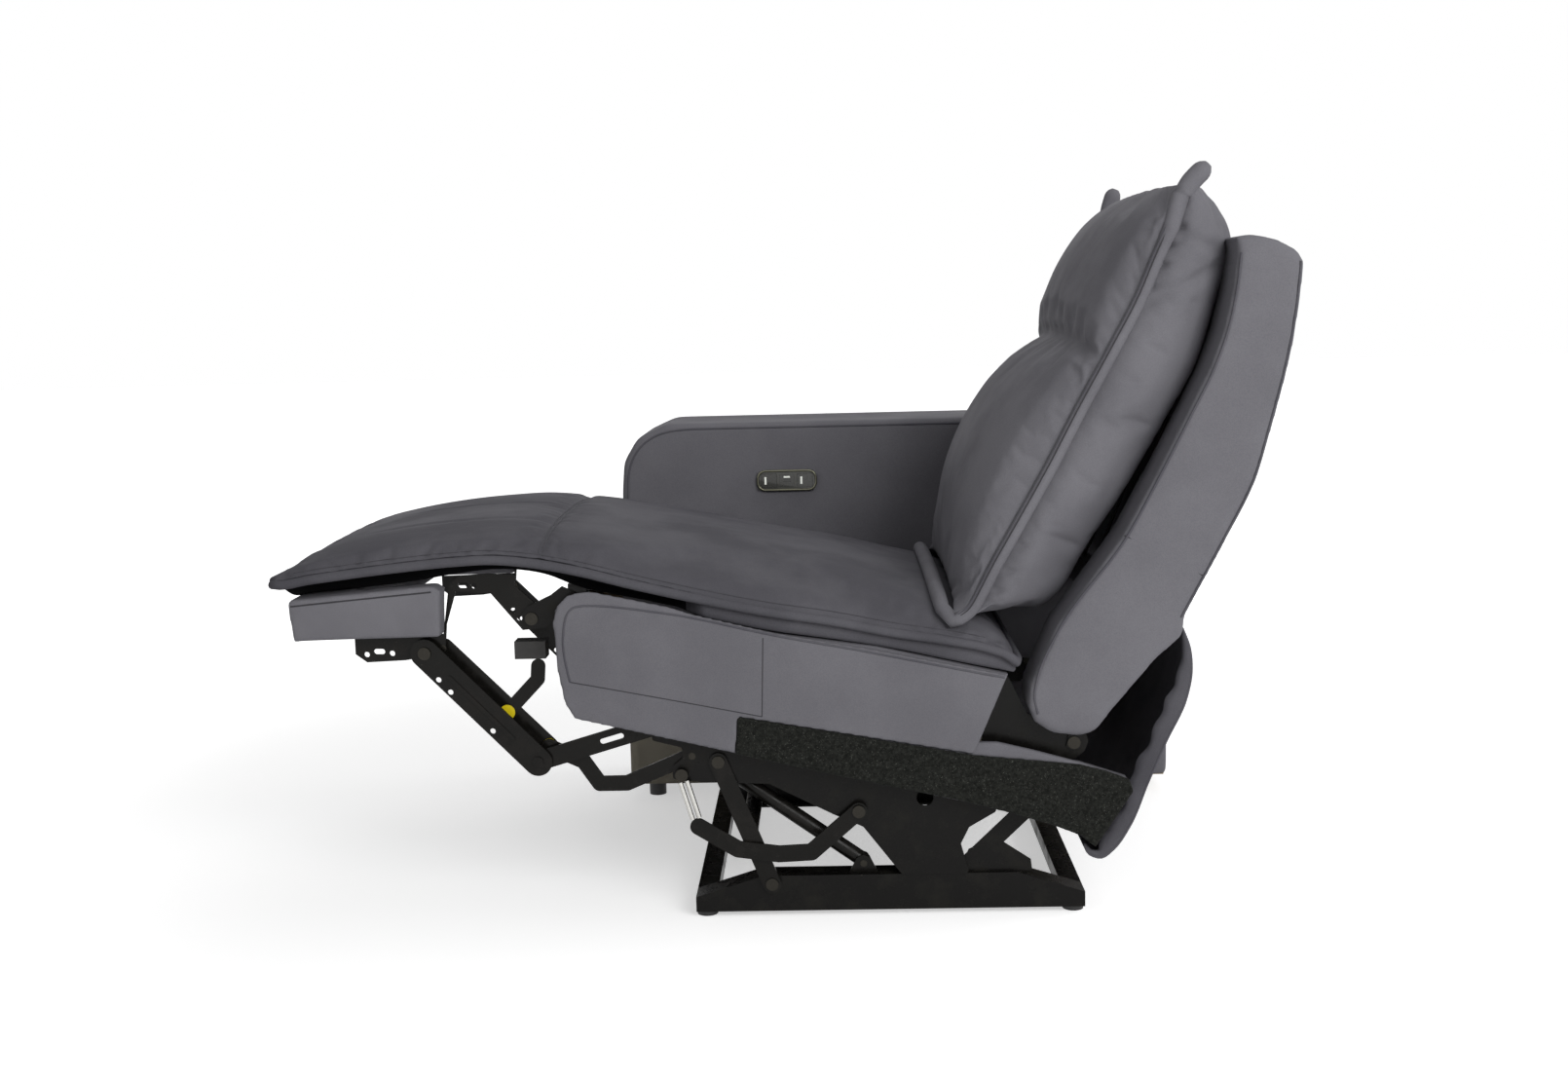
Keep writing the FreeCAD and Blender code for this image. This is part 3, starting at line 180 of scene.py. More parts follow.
soft_box("key", (1.9, -3.2, 2.0), (0.1, 0, 0.5), width=2.2, height=1.8, power=92)
soft_box("fill", (-2.6, -2.4, 2.2), (0.2, 0, 0.6), width=2.0, height=1.8, power=14)
soft_box("side", (3.2, 0.6, 1.6), (0.3, 0, 0.6), width=1.6, height=1.6, power=22)
soft_box("top", (0.4, 0.2, 3.2), (0.1, 0, 0.4), width=2.4, height=2.0, power=14)
soft_box("rear", (1.0, 3.2, 2.8), (0, 0, 0.6), width=2.4, height=2.0, power=11)


# The base stands on moulded black plastic glides. Its rails and stands, the links and the plates
# of the mechanism are pressed steel, dipped in black enamel and pinned together.
def per_metre(millimetres):
    """Pattern scale for a real size in millimetres."""
    return 1000 / millimetres


def enamel(name, colour, worn, shine):
    """Dipped black paint: half gloss, with orange peel, dull dusty patches and rubbed spots."""
    material, shader = new_material(name, {"IOR": 1.5, "Specular IOR Level": 0.12})
    place = add(material, "TexCoord", output="Object")
    clouds = add(material, "TexNoise", {"Vector": place, "Scale": per_metre(38.5), "Detail": 8,
                                        "Roughness": 0.6})
    dust = add(material, "MapRange", {"Value": clouds, "From Min": 0.45, "From Max": 0.72},
               interpolation_type="SMOOTHSTEP")
    squat = add(material, "Mapping", {"Vector": place, "Scale": (1, 1, 2.5)})
    spots = add(material, "TexNoise", {"Vector": squat, "Scale": per_metre(16.7), "Detail": 10,
                                       "Roughness": 0.7})
    rubbed = add(material, "MapRange", {"Value": spots, "From Min": 0.66, "From Max": 0.72},
                 interpolation_type="SMOOTHSTEP")
    tint = add(material, "Mix", {"Factor": dust, 6: linear(colour), 7: linear(worn)}, output=2,
               data_type="RGBA")
    tint = add(material, "Mix", {"Factor": rubbed, 6: tint, 7: linear("#34322f")}, output=2,
               data_type="RGBA")
    dull = add(material, "MapRange", {"Value": dust, "To Min": shine, "To Max": shine + 0.22},
               interpolation_type="SMOOTHSTEP")
    peel = add(material, "TexNoise", {"Vector": place, "Scale": per_metre(2.4), "Detail": 2})
    relief = add(material, "Bump", {"Height": peel, "Distance": 0.0002, "Strength": 0.35})
    wire(shader, {"Base Color": tint, "Roughness": dull, "Normal": relief})
    return material


def dress(material, names):
    """Give CAD nodes that keep their shape a new material."""
    for name in names:
        mesh = nodes[name].data
        mesh.materials.clear()
        mesh.materials.append(material)


frame_enamel = enamel("frame_black_enamel", "#100f0e", "#191815", shine=0.26)
link_enamel = enamel("link_black_enamel", "#141311", "#1e1c1a", shine=0.22)
dress(frame_enamel, ("base_rails", "cross_members", "base_stands", "arm_brackets", "back_brackets",
                     "back_hinge_plates", "seat_plates", "seat_knee_arms"))
dress(link_enamel, ("front_lift_links", "front_lift_tube", "rear_lift_links", "drive_links", "drive_cranks",
                    "drive_torque_tube", "actuator_arm", "balance_stays", "footrest_brackets",
                    "lower_ottoman_links", "cross_ottoman_links", "channel_ottoman_links",
                    "rear_ottoman_links"))


def moulded(name, colour, roughness):
    """Moulded plastic or rubber: even and dull, faintly mottled, with a spark-eroded texture.

    The real pits are about 0.2 mm, too fine to show, and are drawn at 0.7 mm.
    """
    material, shader = new_material(name)
    place = add(material, "TexCoord", output="Object")
    mottle = add(material, "TexNoise", {"Vector": place, "Scale": per_metre(11.1), "Detail": 4})
    paler = [c * 1.35 for c in linear(colour)]
    tint = add(material, "Mix", {"Factor": mottle, 6: linear(colour), 7: paler}, output=2, data_type="RGBA")
    dull = add(material, "MapRange", {"Value": mottle, "From Min": 0.3, "From Max": 0.7, "To Min": roughness,
                                      "To Max": roughness + 0.1}, interpolation_type="SMOOTHSTEP")
    pits = add(material, "TexNoise", {"Vector": place, "Scale": per_metre(0.7), "Detail": 2,
                                      "Roughness": 0.6})
    relief = add(material, "Bump", {"Height": pits, "Distance": 0.0001, "Strength": 0.5})
    wire(shader, {"Base Color": tint, "Roughness": dull, "Normal": relief})
    return material


dress(moulded("glide_black_plastic", "#121212", 0.45), ("floor_glides", "power_inlet", "actuator_gearbox"))
dress(moulded("bumper_black_rubber", "#1d1c1b", 0.62), ("knee_bumpers",))
dress(moulded("washer_yellow_nylon", "#d8c21a", 0.35), ("rear_link_washers", "seat_washers"))
dress(moulded("slider_grey_nylon", "#3a3a3a", 0.4), ("actuator_slider",))


# The stay rods are bright zinc-plated steel, and the pivot pins and springs are plated dark. The
# motor's can is enamelled steel, and its rail is a drawn aluminium section.
def plated(name, colour, roughness):
    """Plated or drawn metal: a sharp reflection, broken by turning marks and spots of dull plate.

    The real marks are about 0.1 mm apart, too fine to show, and are drawn at 0.4 mm by 3.3 mm.
    """
    material, shader = new_material(name, {"Metallic": 1.0})
    place = add(material, "TexCoord", output="Object")
    turned = add(material, "Mapping", {"Vector": place, "Scale": (1, 8, 1)})
    grain = add(material, "TexNoise", {"Vector": turned, "Scale": per_metre(3.33), "Detail": 6,
                                       "Roughness": 0.6})
    darker = [c * 0.72 for c in linear(colour)]
    tint = add(material, "Mix", {"Factor": grain, 6: linear(colour), 7: darker}, output=2, data_type="RGBA")
    dull = add(material, "MapRange", {"Value": grain, "From Min": 0.3, "From Max": 0.8, "To Min": roughness,
                                      "To Max": roughness + 0.18}, interpolation_type="SMOOTHSTEP")
    relief = add(material, "Bump", {"Height": grain, "Distance": 0.0001, "Strength": 0.25})
    wire(shader, {"Base Color": tint, "Roughness": dull, "Normal": relief})
    return material


dress(plated("bright_zinc_plate", "#c9c8c4", 0.18), ("stay_rods",))
dress(plated("dark_zinc_plate", "#35332f", 0.28),
      ("base_pivot_pins", "seat_pivot_pins", "footrest_pins", "seat_springs", "back_springs"))
dress(plated("drawn_aluminium", "#a7a8a8", 0.35), ("actuator_rail",))
dress(enamel("motor_black_enamel", "#101010", "#1c1c1c", shine=0.34), ("actuator_motor",))


# The boards inside the arm and at both ends of the seat are rough plywood, sawn and nailed
# together, and bare wherever the leather ends.
def band_scale(millimetres):
    """Scale of a wave texture, whose bands are pi / 10 of a unit apart."""
    return per_metre(millimetres) * math.pi / 10


def plywood(name):
    """Rough plywood: brown with pale fibres, and dark glue lines 2.9 mm apart on its edges."""
    material, shader = new_material(name, {"Roughness": 0.78})
    place = add(material, "TexCoord", output="Object")
    plies = add(material, "TexWave", {"Vector": place, "Scale": band_scale(2.86), "Distortion": 1.2},
                output="Fac", bands_direction="Y")
    glue = add(material, "MapRange", {"Value": plies, "From Min": 0.55, "From Max": 0.8, "To Max": 0.35},
               interpolation_type="SMOOTHSTEP")
    sawn = add(material, "Mapping", {"Vector": place,
                                     "Scale": (per_metre(25), per_metre(3.33), per_metre(3.33))})
    fibre = add(material, "TexNoise", {"Vector": sawn, "Scale": 1, "Detail": 8, "Roughness": 0.7})
    tint = add(material, "Mix", {"Factor": fibre, 6: linear("#7d6a50"), 7: linear("#a8926f")}, output=2,
               data_type="RGBA")
    tint = add(material, "Mix", {"Factor": glue, 6: tint, 7: linear("#5d4c36")}, output=2,
               data_type="RGBA")
    relief = add(material, "Bump", {"Height": fibre, "Distance": 0.0004, "Strength": 0.5})
    wire(shader, {"Base Color": tint, "Normal": relief})
    return material


dress(plywood("rough_plywood"), ("arm_frame", "seat_front_board", "seat_rear_board"))


# The arm is a plywood box under thin foam, wrapped in grey leather that is tacked on below. A
# leather welt is sewn into the seam along both edges of its top and nose.
def leather(name, colour, shade, gather):
    """Drum-dyed cover leather: matt, with uneven dye, soft creases, pebbles and darker pores.

    Real pebbles are about 1 mm and pores about 0.2 mm, too fine to show, and are drawn at 1.6 mm
    and 1.1 mm. The creases are up to 100 mm long and stand out by the strength of the gather.
    """
    material, shader = new_material(name, {"IOR": 1.45, "Specular IOR Level": 0.04})
    place = add(material, "TexCoord", output="Object")
    cloud = add(material, "TexNoise", {"Vector": place, "Scale": per_metre(143), "Detail": 5,
                                       "Roughness": 0.55})
    dye = add(material, "MapRange", {"Value": cloud, "From Min": 0.35, "From Max": 0.68},
              interpolation_type="SMOOTHSTEP")
    tint = add(material, "Mix", {"Factor": dye, 6: linear(shade), 7: linear(colour)}, output=2,
               data_type="RGBA")
    pores = add(material, "TexNoise", {"Vector": place, "Scale": per_metre(1.11), "Detail": 3,
                                       "Roughness": 0.6})
    dark = add(material, "MapRange", {"Value": pores, "From Min": 0.35, "From Max": 0.6, "To Min": 0.14,
                                      "To Max": 0.0}, interpolation_type="SMOOTHSTEP")
    tint = add(material, "Mix", {"Factor": dark, 6: tint, 7: linear("#1f1e22")}, output=2,
               data_type="RGBA")
    dull = add(material, "MapRange", {"Value": cloud, "From Min": 0.3, "From Max": 0.7, "To Min": 0.72,
                                      "To Max": 0.6}, interpolation_type="SMOOTHSTEP")
    drawn = add(material, "Mapping", {"Vector": place,
                                      "Scale": (per_metre(71.4), per_metre(38.5), per_metre(100))})
    creases = add(material, "TexNoise", {"Vector": drawn, "Scale": 1, "Detail": 6, "Roughness": 0.62})
    pebbles = add(material, "TexVoronoi", {"Vector": place, "Scale": per_metre(1.61), "Randomness": 0.9},
                  feature="SMOOTH_F1")
    relief = add(material, "Bump", {"Height": creases, "Distance": 0.004, "Strength": gather})
    relief = add(material, "Bump", {"Height": pebbles, "Distance": 0.0003, "Strength": 0.35,
                                    "Normal": relief})
    relief = add(material, "Bump", {"Height": pores, "Distance": 0.0002, "Strength": 0.2, "Normal": relief})
    wire(shader, {"Base Color": tint, "Roughness": dull, "Normal": relief})
    return material


def smooth_shading(item):
    item.data.polygons.foreach_set("use_smooth", [True] * len(item.data.polygons))


def apply_modifiers(item):
    """Replace a mesh by what its modifiers make of it, shaded smooth."""
    graph = bpy.context.evaluated_depsgraph_get()
    item.data = bpy.data.meshes.new_from_object(item.evaluated_get(graph))
    item.modifiers.clear()
    smooth_shading(item)


def padded_block(name, outline, near, far, material, voxel, rounds):
    """Foam-covered block: a side outline drawn out across the chair, with soft rounded edges."""
    count = len(outline)
    points = [(x, near, z) for x, z in outline] + [(x, far, z) for x, z in outline]
    faces = [tuple(range(count)), tuple(reversed(range(count, 2 * count)))]
    faces += [(i, i + count, (i + 1) % count + count, (i + 1) % count) for i in range(count)]
    item = new_mesh(name, points, faces, material)
    item.modifiers.new("voxels", "REMESH").voxel_size = voxel
    relax = item.modifiers.new("relax", "SMOOTH")
    relax.factor = 0.5
    relax.iterations = rounds
    apply_modifiers(item)
    return item


def strand(name, points, radius, material, closed=False):
    """Round cord of welt, wire or thread along a smooth line."""
    curve = bpy.data.curves.new(name, "CURVE")
    curve.dimensions = "3D"
    curve.bevel_depth = radius
    curve.bevel_resolution = 3
    curve.resolution_u = 6
    spline = curve.splines.new("NURBS")
    spline.points.add(len(points) - 1)
    for point, target in zip(points, spline.points):
        target.co = (*point, 1)
    spline.use_cyclic_u = closed
    spline.use_endpoint_u = not closed
    spline.order_u = 3
    curve.use_fill_caps = not closed
    curve.materials.append(material)
    return new_object(name, curve)


arm_leather = leather("arm_grey_leather", "#717075", "#6b6a6f", gather=0.18)
dress(arm_leather, ("seat_side_boards", "back_side_boards", "back_cross_rails"))
welt_leather = leather("welt_grey_leather", "#605f64", "#55545a", gather=0.1)

arm_low, arm_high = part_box("arm_cover")
ARM_OUTLINE = [(-0.290, arm_low.z), (-0.287, 0.553), (-0.282, 0.604), (-0.257, 0.645),
               (-0.205, arm_high.z), (arm_high.x, arm_high.z), (arm_high.x, arm_low.z)]
arm = padded_block("arm_upholstery", ARM_OUTLINE, arm_low.y, arm_high.y, arm_leather, voxel=0.008, rounds=9)
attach(arm, "base")
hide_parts("arm_cover")
SEAM_INSET = 0.009
ARM_WELT_RADIUS = 0.0022
ARM_WELT_SUNK = 0.0015
arm_seam_z = arm_high.z - SEAM_INSET
ARM_SEAM = [(-0.280, 0.06), (-0.277, 0.553), (-0.271, 0.600), (-0.249, 0.636), (-0.203, arm_seam_z),
            (-0.1, arm_seam_z), (0.3, arm_seam_z), (arm_high.x - 0.02, arm_seam_z)]
for side, y in (("near", arm_low.y + ARM_WELT_SUNK), ("far", arm_high.y - ARM_WELT_SUNK)):
    welt = strand(f"arm_welt_{side}", [(x, y, z) for x, z in ARM_SEAM], ARM_WELT_RADIUS, welt_leather)
    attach(welt, "base")


# Woven lining cloth closes the arm's inner side near the floor, where the seat hides it. It is
# stretched flat and tacked along its edges.
def lining(name):
    """Plain-weave lining: pale and quite matt. Its 0.5 mm threads are drawn 1.2 mm apart."""
    material, shader = new_material(name, {"Roughness": 0.9})
    place = add(material, "TexCoord", output="Object")
    warp = add(material, "TexWave", {"Vector": place, "Scale": band_scale(1.208)}, output="Fac",
               bands_direction="X")
    weft = add(material, "TexWave", {"Vector": place, "Scale": band_scale(1.208)}, output="Fac",
               bands_direction="Z")
    weave = add(material, "Math", {0: warp, 1: weft}, operation="MULTIPLY")
    tint = add(material, "Mix", {"Factor": weave, 6: linear("#8f897c"), 7: linear("#bbb5a6")}, output=2,
               data_type="RGBA")
    relief = add(material, "Bump", {"Height": weave, "Distance": 0.0004, "Strength": 0.6})
    wire(shader, {"Base Color": tint, "Normal": relief})
    return material


def grid_faces(rows, columns):
    """Faces of a sheet whose points lie row by row."""
    corners = [row * columns + column for row in range(rows - 1) for column in range(columns - 1)]
    return [(corner, corner + 1, corner + columns + 1, corner + columns) for corner in corners]


def thicken(item, thickness):
    item.modifiers.new("thickness", "SOLIDIFY").thickness = thickness
    apply_modifiers(item)


low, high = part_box("arm_lining")
LINING_END = high.x - 0.040
LINING_THICKNESS = 0.0008
RIPPLE = 0.0012
COLUMNS, ROWS = 60, 8
lining_points = []
for row in range(ROWS + 1):
    for column in range(COLUMNS + 1):
        x = low.x + (LINING_END - low.x) * column / COLUMNS
        z = low.z + (high.z - low.z) * row / ROWS
        ripple = RIPPLE * math.sin(column * 0.9) * math.sin(math.pi * row / ROWS)
        lining_points.append((x, low.y + LINING_THICKNESS + ripple, z))
lining_cloth = new_mesh("arm_lining_cloth", lining_points, grid_faces(ROWS + 1, COLUMNS + 1),
                        lining("woven_lining_cloth"))
thicken(lining_cloth, LINING_THICKNESS)
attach(lining_cloth, "base")
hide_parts("arm_lining")


# The control panel is a glossy black moulding let into the arm, with a plated rim. Two rocker
# keys, each with a pale light bar, stand either side of a charging socket.
def gloss(name, colour, roughness):
    """Polished black plastic under a clear coat: sharp reflections and a faint haze of handling."""
    material, shader = new_material(name, {"Coat Weight": 0.5})
    place = add(material, "TexCoord", output="Object")
    haze = add(material, "TexNoise", {"Vector": place, "Scale": per_metre(8.33), "Detail": 5,
                                      "Roughness": 0.6})
    paler = [c * 1.5 for c in linear(colour)]
    tint = add(material, "Mix", {"Factor": haze, 6: linear(colour), 7: paler}, output=2, data_type="RGBA")
    dull = add(material, "MapRange", {"Value": haze, "From Min": 0.3, "From Max": 0.7, "To Min": roughness,
                                      "To Max": roughness + 0.12}, interpolation_type="SMOOTHSTEP")
    wire(shader, {"Base Color": tint, "Roughness": dull})
    return material


def rounded_frame(centre_x, centre_z, half_length, half_height, radius, steps=8):
    """Points round a rectangle with arcs at its corners."""
    points = []
    for quarter, (sx, sz) in enumerate(((1, 1), (-1, 1), (-1, -1), (1, -1))):
        for step in range(steps + 1):
            angle = math.pi / 2 * (quarter + step / steps)
            points.append((centre_x + sx * (half_length - radius) + radius * math.cos(angle),
                           centre_z + sz * (half_height - radius) + radius * math.sin(angle)))
    return points


dress(gloss("panel_gloss_black", "#2a2a24", 0.16), ("control_bezel",))
dress(gloss("key_gloss_black", "#24241f", 0.14), ("open_button", "close_button", "usb_socket"))
rim_metal = plated("panel_bronze_rim", "#6b6a5c", 0.3)
RIM_CORNER = 0.013
RIM_RADIUS = 0.0022
RIM_SUNK = 0.001
panel_low, panel_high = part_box("control_bezel")
PANEL_X = (panel_low.x + panel_high.x) / 2
PANEL_Z = (panel_low.z + panel_high.z) / 2
rim_points = rounded_frame(PANEL_X, PANEL_Z, (panel_high.x - panel_low.x) / 2,
                           (panel_high.z - panel_low.z) / 2, RIM_CORNER)
rim = strand("panel_rim", [(x, panel_low.y + RIM_SUNK, z) for x, z in rim_points], RIM_RADIUS, rim_metal,
             closed=True)
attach(rim, "base")

# The light bars are small bars of milky plastic, pressed into the keys and the socket's plate,
# and glow faintly over a lamp.
light_bar = new_material("key_light_bar", {
    "Base Color": linear("#d9dbd4"), "Roughness": 0.3, "Emission Color": linear("#dfe2da"),
    "Emission Strength": 0.35})[0]
BAR_PROUD = 0.0006
BAR_DEPTH = 0.0012
BAR_CHAMFER = 0.0004


def small_bar(name, x, z, face_y, length, height, body):
    """Light bar with chamfered edges, let into a front face."""
    front = face_y - BAR_PROUD
    points = []
    for inset, y in ((0, front + BAR_DEPTH), (0, front + BAR_CHAMFER), (BAR_CHAMFER, front)):
        points += [(x - length / 2 + inset, y, z - height / 2 + inset),
                   (x + length / 2 - inset, y, z - height / 2 + inset),
                   (x + length / 2 - inset, y, z + height / 2 - inset),
                   (x - length / 2 + inset, y, z + height / 2 - inset)]
    faces = [(3, 2, 1, 0), (8, 9, 10, 11)]
    for start in (0, 4):
        faces += [(start + i, start + (i + 1) % 4, start + 4 + (i + 1) % 4, start + 4 + i) for i in range(4)]
    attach(new_mesh(name, points, faces, light_bar), body)


for key in ("open_button", "close_button"):
    key_low, key_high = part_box(key)
    small_bar(f"{key}_light", (key_low.x + key_high.x) / 2 - 0.006, PANEL_Z, key_low.y, length=0.0035,
              height=0.013, body=key)
small_bar("socket_light", PANEL_X, PANEL_Z + 0.006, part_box("usb_socket")[0].y, length=0.011, height=0.003,
          body="base")


# The footrest's frame is a front board and two side boards, each wrapped in foam and leather,
# with a seam along its upper edge. It is open behind the front board, where the brackets bolt on.
foot_leather = leather("footrest_grey_leather", "#7c7b80", "#747378", gather=0.25)
seam_thread = new_material("dark_seam_thread", {"Base Color": linear("#2c2b2f"), "Roughness": 0.8})[0]
foot_low, foot_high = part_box("footrest_block")
FOOT_BOARD = 0.038
BEAM_REAR = -0.600
RAIL_OUTLINE = [(-0.682, 0.4765), (-0.478, 0.4935), (-0.468, 0.486), (-0.471, 0.421), (-0.677, 0.4184)]
BEAM_OUTLINE = [(-0.682, 0.4765), (BEAM_REAR, 0.4828), (BEAM_REAR, 0.4200), (-0.677, 0.4184)]
for name, outline, near, far in (
        ("footrest_rail_cover_near", RAIL_OUTLINE, foot_low.y, foot_low.y + FOOT_BOARD),
        ("footrest_rail_cover_far", RAIL_OUTLINE, foot_high.y - FOOT_BOARD, foot_high.y),
        ("footrest_beam_cover", BEAM_OUTLINE, foot_low.y + FOOT_BOARD / 2, foot_high.y - FOOT_BOARD / 2)):
    cover = padded_block(name, outline, near, far, foot_leather, voxel=0.0045, rounds=4)
    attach(cover, "footrest")
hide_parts("footrest_block")
FOOT_SEAM = [(-0.677, 0.4685), (-0.58, 0.477), (-0.48, 0.485)]
FOOT_SEAM_RADIUS = 0.0012
FOOT_SEAM_SUNK = 0.0003
for side, y in (("near", foot_low.y + FOOT_SEAM_SUNK), ("far", foot_high.y - FOOT_SEAM_SUNK)):
    seam = strand(f"footrest_rail_seam_{side}", [(x, y, z) for x, z in FOOT_SEAM], FOOT_SEAM_RADIUS,
                  seam_thread)
    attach(seam, "footrest")


# The seat box is boarded on both sides; each side is padded, wrapped in leather and piped
# along its top edge and nose, with one upright seam and a turned band under it.
def both_sides(proud, depth):
    """Name, near face and far face of a cover on each side of the seat box."""
    return (("near", side_low.y - proud, side_low.y + depth),
            ("far", side_high.y - depth, side_high.y + proud))


seat_leather = leather("seat_side_grey_leather", "#737277", "#6c6b70", gather=0.25)
SIDE_OUTLINE = [(-0.287, 0.303), (-0.3, 0.326), (-0.308, 0.37), (-0.312, 0.44), (-0.306, 0.462),
                (-0.290, 0.478), (-0.262, 0.483), (-0.202, 0.470), (-0.149, 0.458), (-0.12, 0.448),
                (-0.006, 0.419), (0.134, 0.3925), (0.314, 0.354), (0.267, 0.243), (-0.06, 0.302),
                (-0.0645, 0.25)]
# Each line's name, radius, finish and places along and up the side
SIDE_LINES = (
    ("top", 0.0016, welt_leather,
     [(-0.291, 0.356), (-0.300, 0.397), (-0.297, 0.435), (-0.291, 0.455), (-0.276, 0.464), (-0.228, 0.461),
      (-0.175, 0.453), (-0.122, 0.4445), (-0.006, 0.4155), (0.079, 0.3995), (0.133, 0.3885), (0.265, 0.360),
      (0.310, 0.351)]),
    ("cross", 0.0009, seam_thread, [(-0.026, 0.302), (-0.022, 0.413)]),
    ("hem", 0.0009, seam_thread, [(-0.292, 0.356), (-0.15, 0.328), (-0.026, 0.302)]))
SIDE_SEAM_SUNK = 0.0004
side_low, side_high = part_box("seat_side_covers")
for side, near, far in both_sides(proud=0.003, depth=0.0045):
    panel = padded_block(f"seat_side_{side}", SIDE_OUTLINE, near, far, seat_leather, voxel=0.0035, rounds=3)
    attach(panel, "seat")
    if side == "near":
        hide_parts("seat_side_covers")
    face_y = near + SIDE_SEAM_SUNK if side == "near" else far - SIDE_SEAM_SUNK
    for part, radius, finish, line in SIDE_LINES:
        seam = strand(f"seat_side_{part}_{side}", [(x, face_y, z) for x, z in line], radius, finish)
        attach(seam, "seat")


# The front of the seat box is a padded rail across the chair, wrapped in leather, on which the
# chaise cushion rests.
FRONT_INSET = 0.062
front_low, front_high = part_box("seat_front_cover")
front_outline = [(front_low.x, front_low.z), (front_high.x, front_low.z), (front_high.x, front_high.z),
                 (front_low.x, front_high.z)]
front = padded_block("seat_front_padding", front_outline, front_low.y + FRONT_INSET,
                     front_high.y - FRONT_INSET, seat_leather, voxel=0.0035, rounds=2)
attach(front, "seat")
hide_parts("seat_front_cover")


# Needled felt hangs over the seat board behind the leather and hides the linkage from outside.
# It is one strip a side, cut with shears and stapled to the board along its upper edge.
def felt(name):
    """Needled felt: a dark fleece of 5 mm tufts with pale flecks of fibre, without any shine.

    Real flecks are fibres finer than 0.1 mm, and are drawn as spots of 2 mm.
    """
    material, shader = new_material(name, {"Roughness": 0.95, "Specular IOR Level": 0.05,
                                           "Sheen Weight": 0.05})
    place = add(material, "TexCoord", output="Object")
    tufts = add(material, "TexNoise", {"Vector": place, "Scale": per_metre(4.76), "Detail": 10,
                                       "Roughness": 0.75})
    hollow = add(material, "MapRange", {"Value": tufts, "From Min": 0.35, "From Max": 0.7},
                 interpolation_type="SMOOTHSTEP")
    fibres = add(material, "TexNoise", {"Vector": place, "Scale": per_metre(1.923), "Detail": 4,
                                        "Roughness": 0.8})
    flecks = add(material, "MapRange", {"Value": fibres, "From Min": 0.6, "From Max": 0.68},
                 interpolation_type="SMOOTHSTEP")
    tint = add(material, "Mix", {"Factor": hollow, 6: linear("#151614"), 7: linear("#2d2e2b")}, output=2,
               data_type="RGBA")
    tint = add(material, "Mix", {"Factor": flecks, 6: tint, 7: linear("#63645f")}, output=2,
               data_type="RGBA")
    relief = add(material, "Bump", {"Height": tufts, "Distance": 0.0025, "Strength": 0.8})
    wire(shader, {"Base Color": tint, "Normal": relief})
    return material


needle_felt = felt("needled_black_felt")
FELT_OUTLINE = [(-0.06, 0.3025), (-0.0655, 0.2485), (0.1, 0.2095), (0.24, 0.178), (0.32, 0.1565),
                (0.375, 0.139), (0.415, 0.123), (0.435, 0.106), (0.455, 0.135), (0.488, 0.186),
                (0.482, 0.2035), (0.45, 0.216), (0.415, 0.2255), (0.267, 0.2415)]
for side, near, far in both_sides(proud=0.002, depth=0.004):
    strip = padded_block(f"felt_strip_{side}", FELT_OUTLINE, near, far, needle_felt, voxel=0.003, rounds=2)
    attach(strip, "seat")
    if side == "near":
        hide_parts("felt_strips")


# A leather band is wrapped over the seat board's rear end, above the felt, and lies a little
# behind the face of the side.
REAR_BAND = [(0.262, 0.240), (0.267, 0.259), (0.300, 0.258), (0.348, 0.246), (0.420, 0.2255), (0.469, 0.205),
             (0.415, 0.2235), (0.267, 0.2395)]
for side, near, far in both_sides(proud=-0.001, depth=0.012):
    band = padded_block(f"seat_rear_band_{side}", REAR_BAND, near, far, seat_leather, voxel=0.0025, rounds=2)
    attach(band, "seat")


# The chaise cushion is one long pad from the seat's rear to the footrest's tip. Its leather top
# is drawn down to a seam, and a fat leather roll runs all round below that seam.
def smooth_line(points, count):
    """Evenly numbered places on a smooth curve through the points."""
    known = np.array(points, float)
    steps = np.linalg.norm(np.diff(known[:, :2], axis=0), axis=1)
    at = np.concatenate([[0], np.cumsum(steps)])
    slopes = np.gradient(known, at, axis=0)
    wanted = np.linspace(0, at[-1], count)
    index = np.clip(np.searchsorted(at, wanted, side="right") - 1, 0, len(at) - 2)
    span = (at[index + 1] - at[index])[:, None]
    share = ((wanted - at[index]) / span[:, 0])[:, None]
    first, last = known[index], known[index + 1]
    rise, fall = slopes[index] * span, slopes[index + 1] * span
    return (first * (2 * share ** 3 - 3 * share ** 2 + 1) + last * (3 * share ** 2 - 2 * share ** 3)
            + rise * (share ** 3 - 2 * share ** 2 + share) + fall * (share ** 3 - share ** 2))


def ring_mesh(name, rings, material):
    """Closed skin through rings of the same number of points; both ends are sewn shut flat."""
    rings = np.array(rings)
    count = rings.shape[1]
    faces = []
    for ring in range(len(rings) - 1):
        for step in range(count):
            start = ring * count
            after = (step + 1) % count
            faces.append((start + step, start + count + step, start + count + after, start + after))
    last = (len(rings) - 1) * count
    for step in range(count // 2 - 1):
        faces.append((step + 1, count - 2 - step, count - 1 - step, step))
        faces.append((last + step, last + count - 1 - step, last + count - 2 - step, last + step + 1))
    item = new_mesh(name, rings.reshape(-1, 3).tolist(), faces, material)
    item.data.validate()
    smooth_shading(item)
    return item


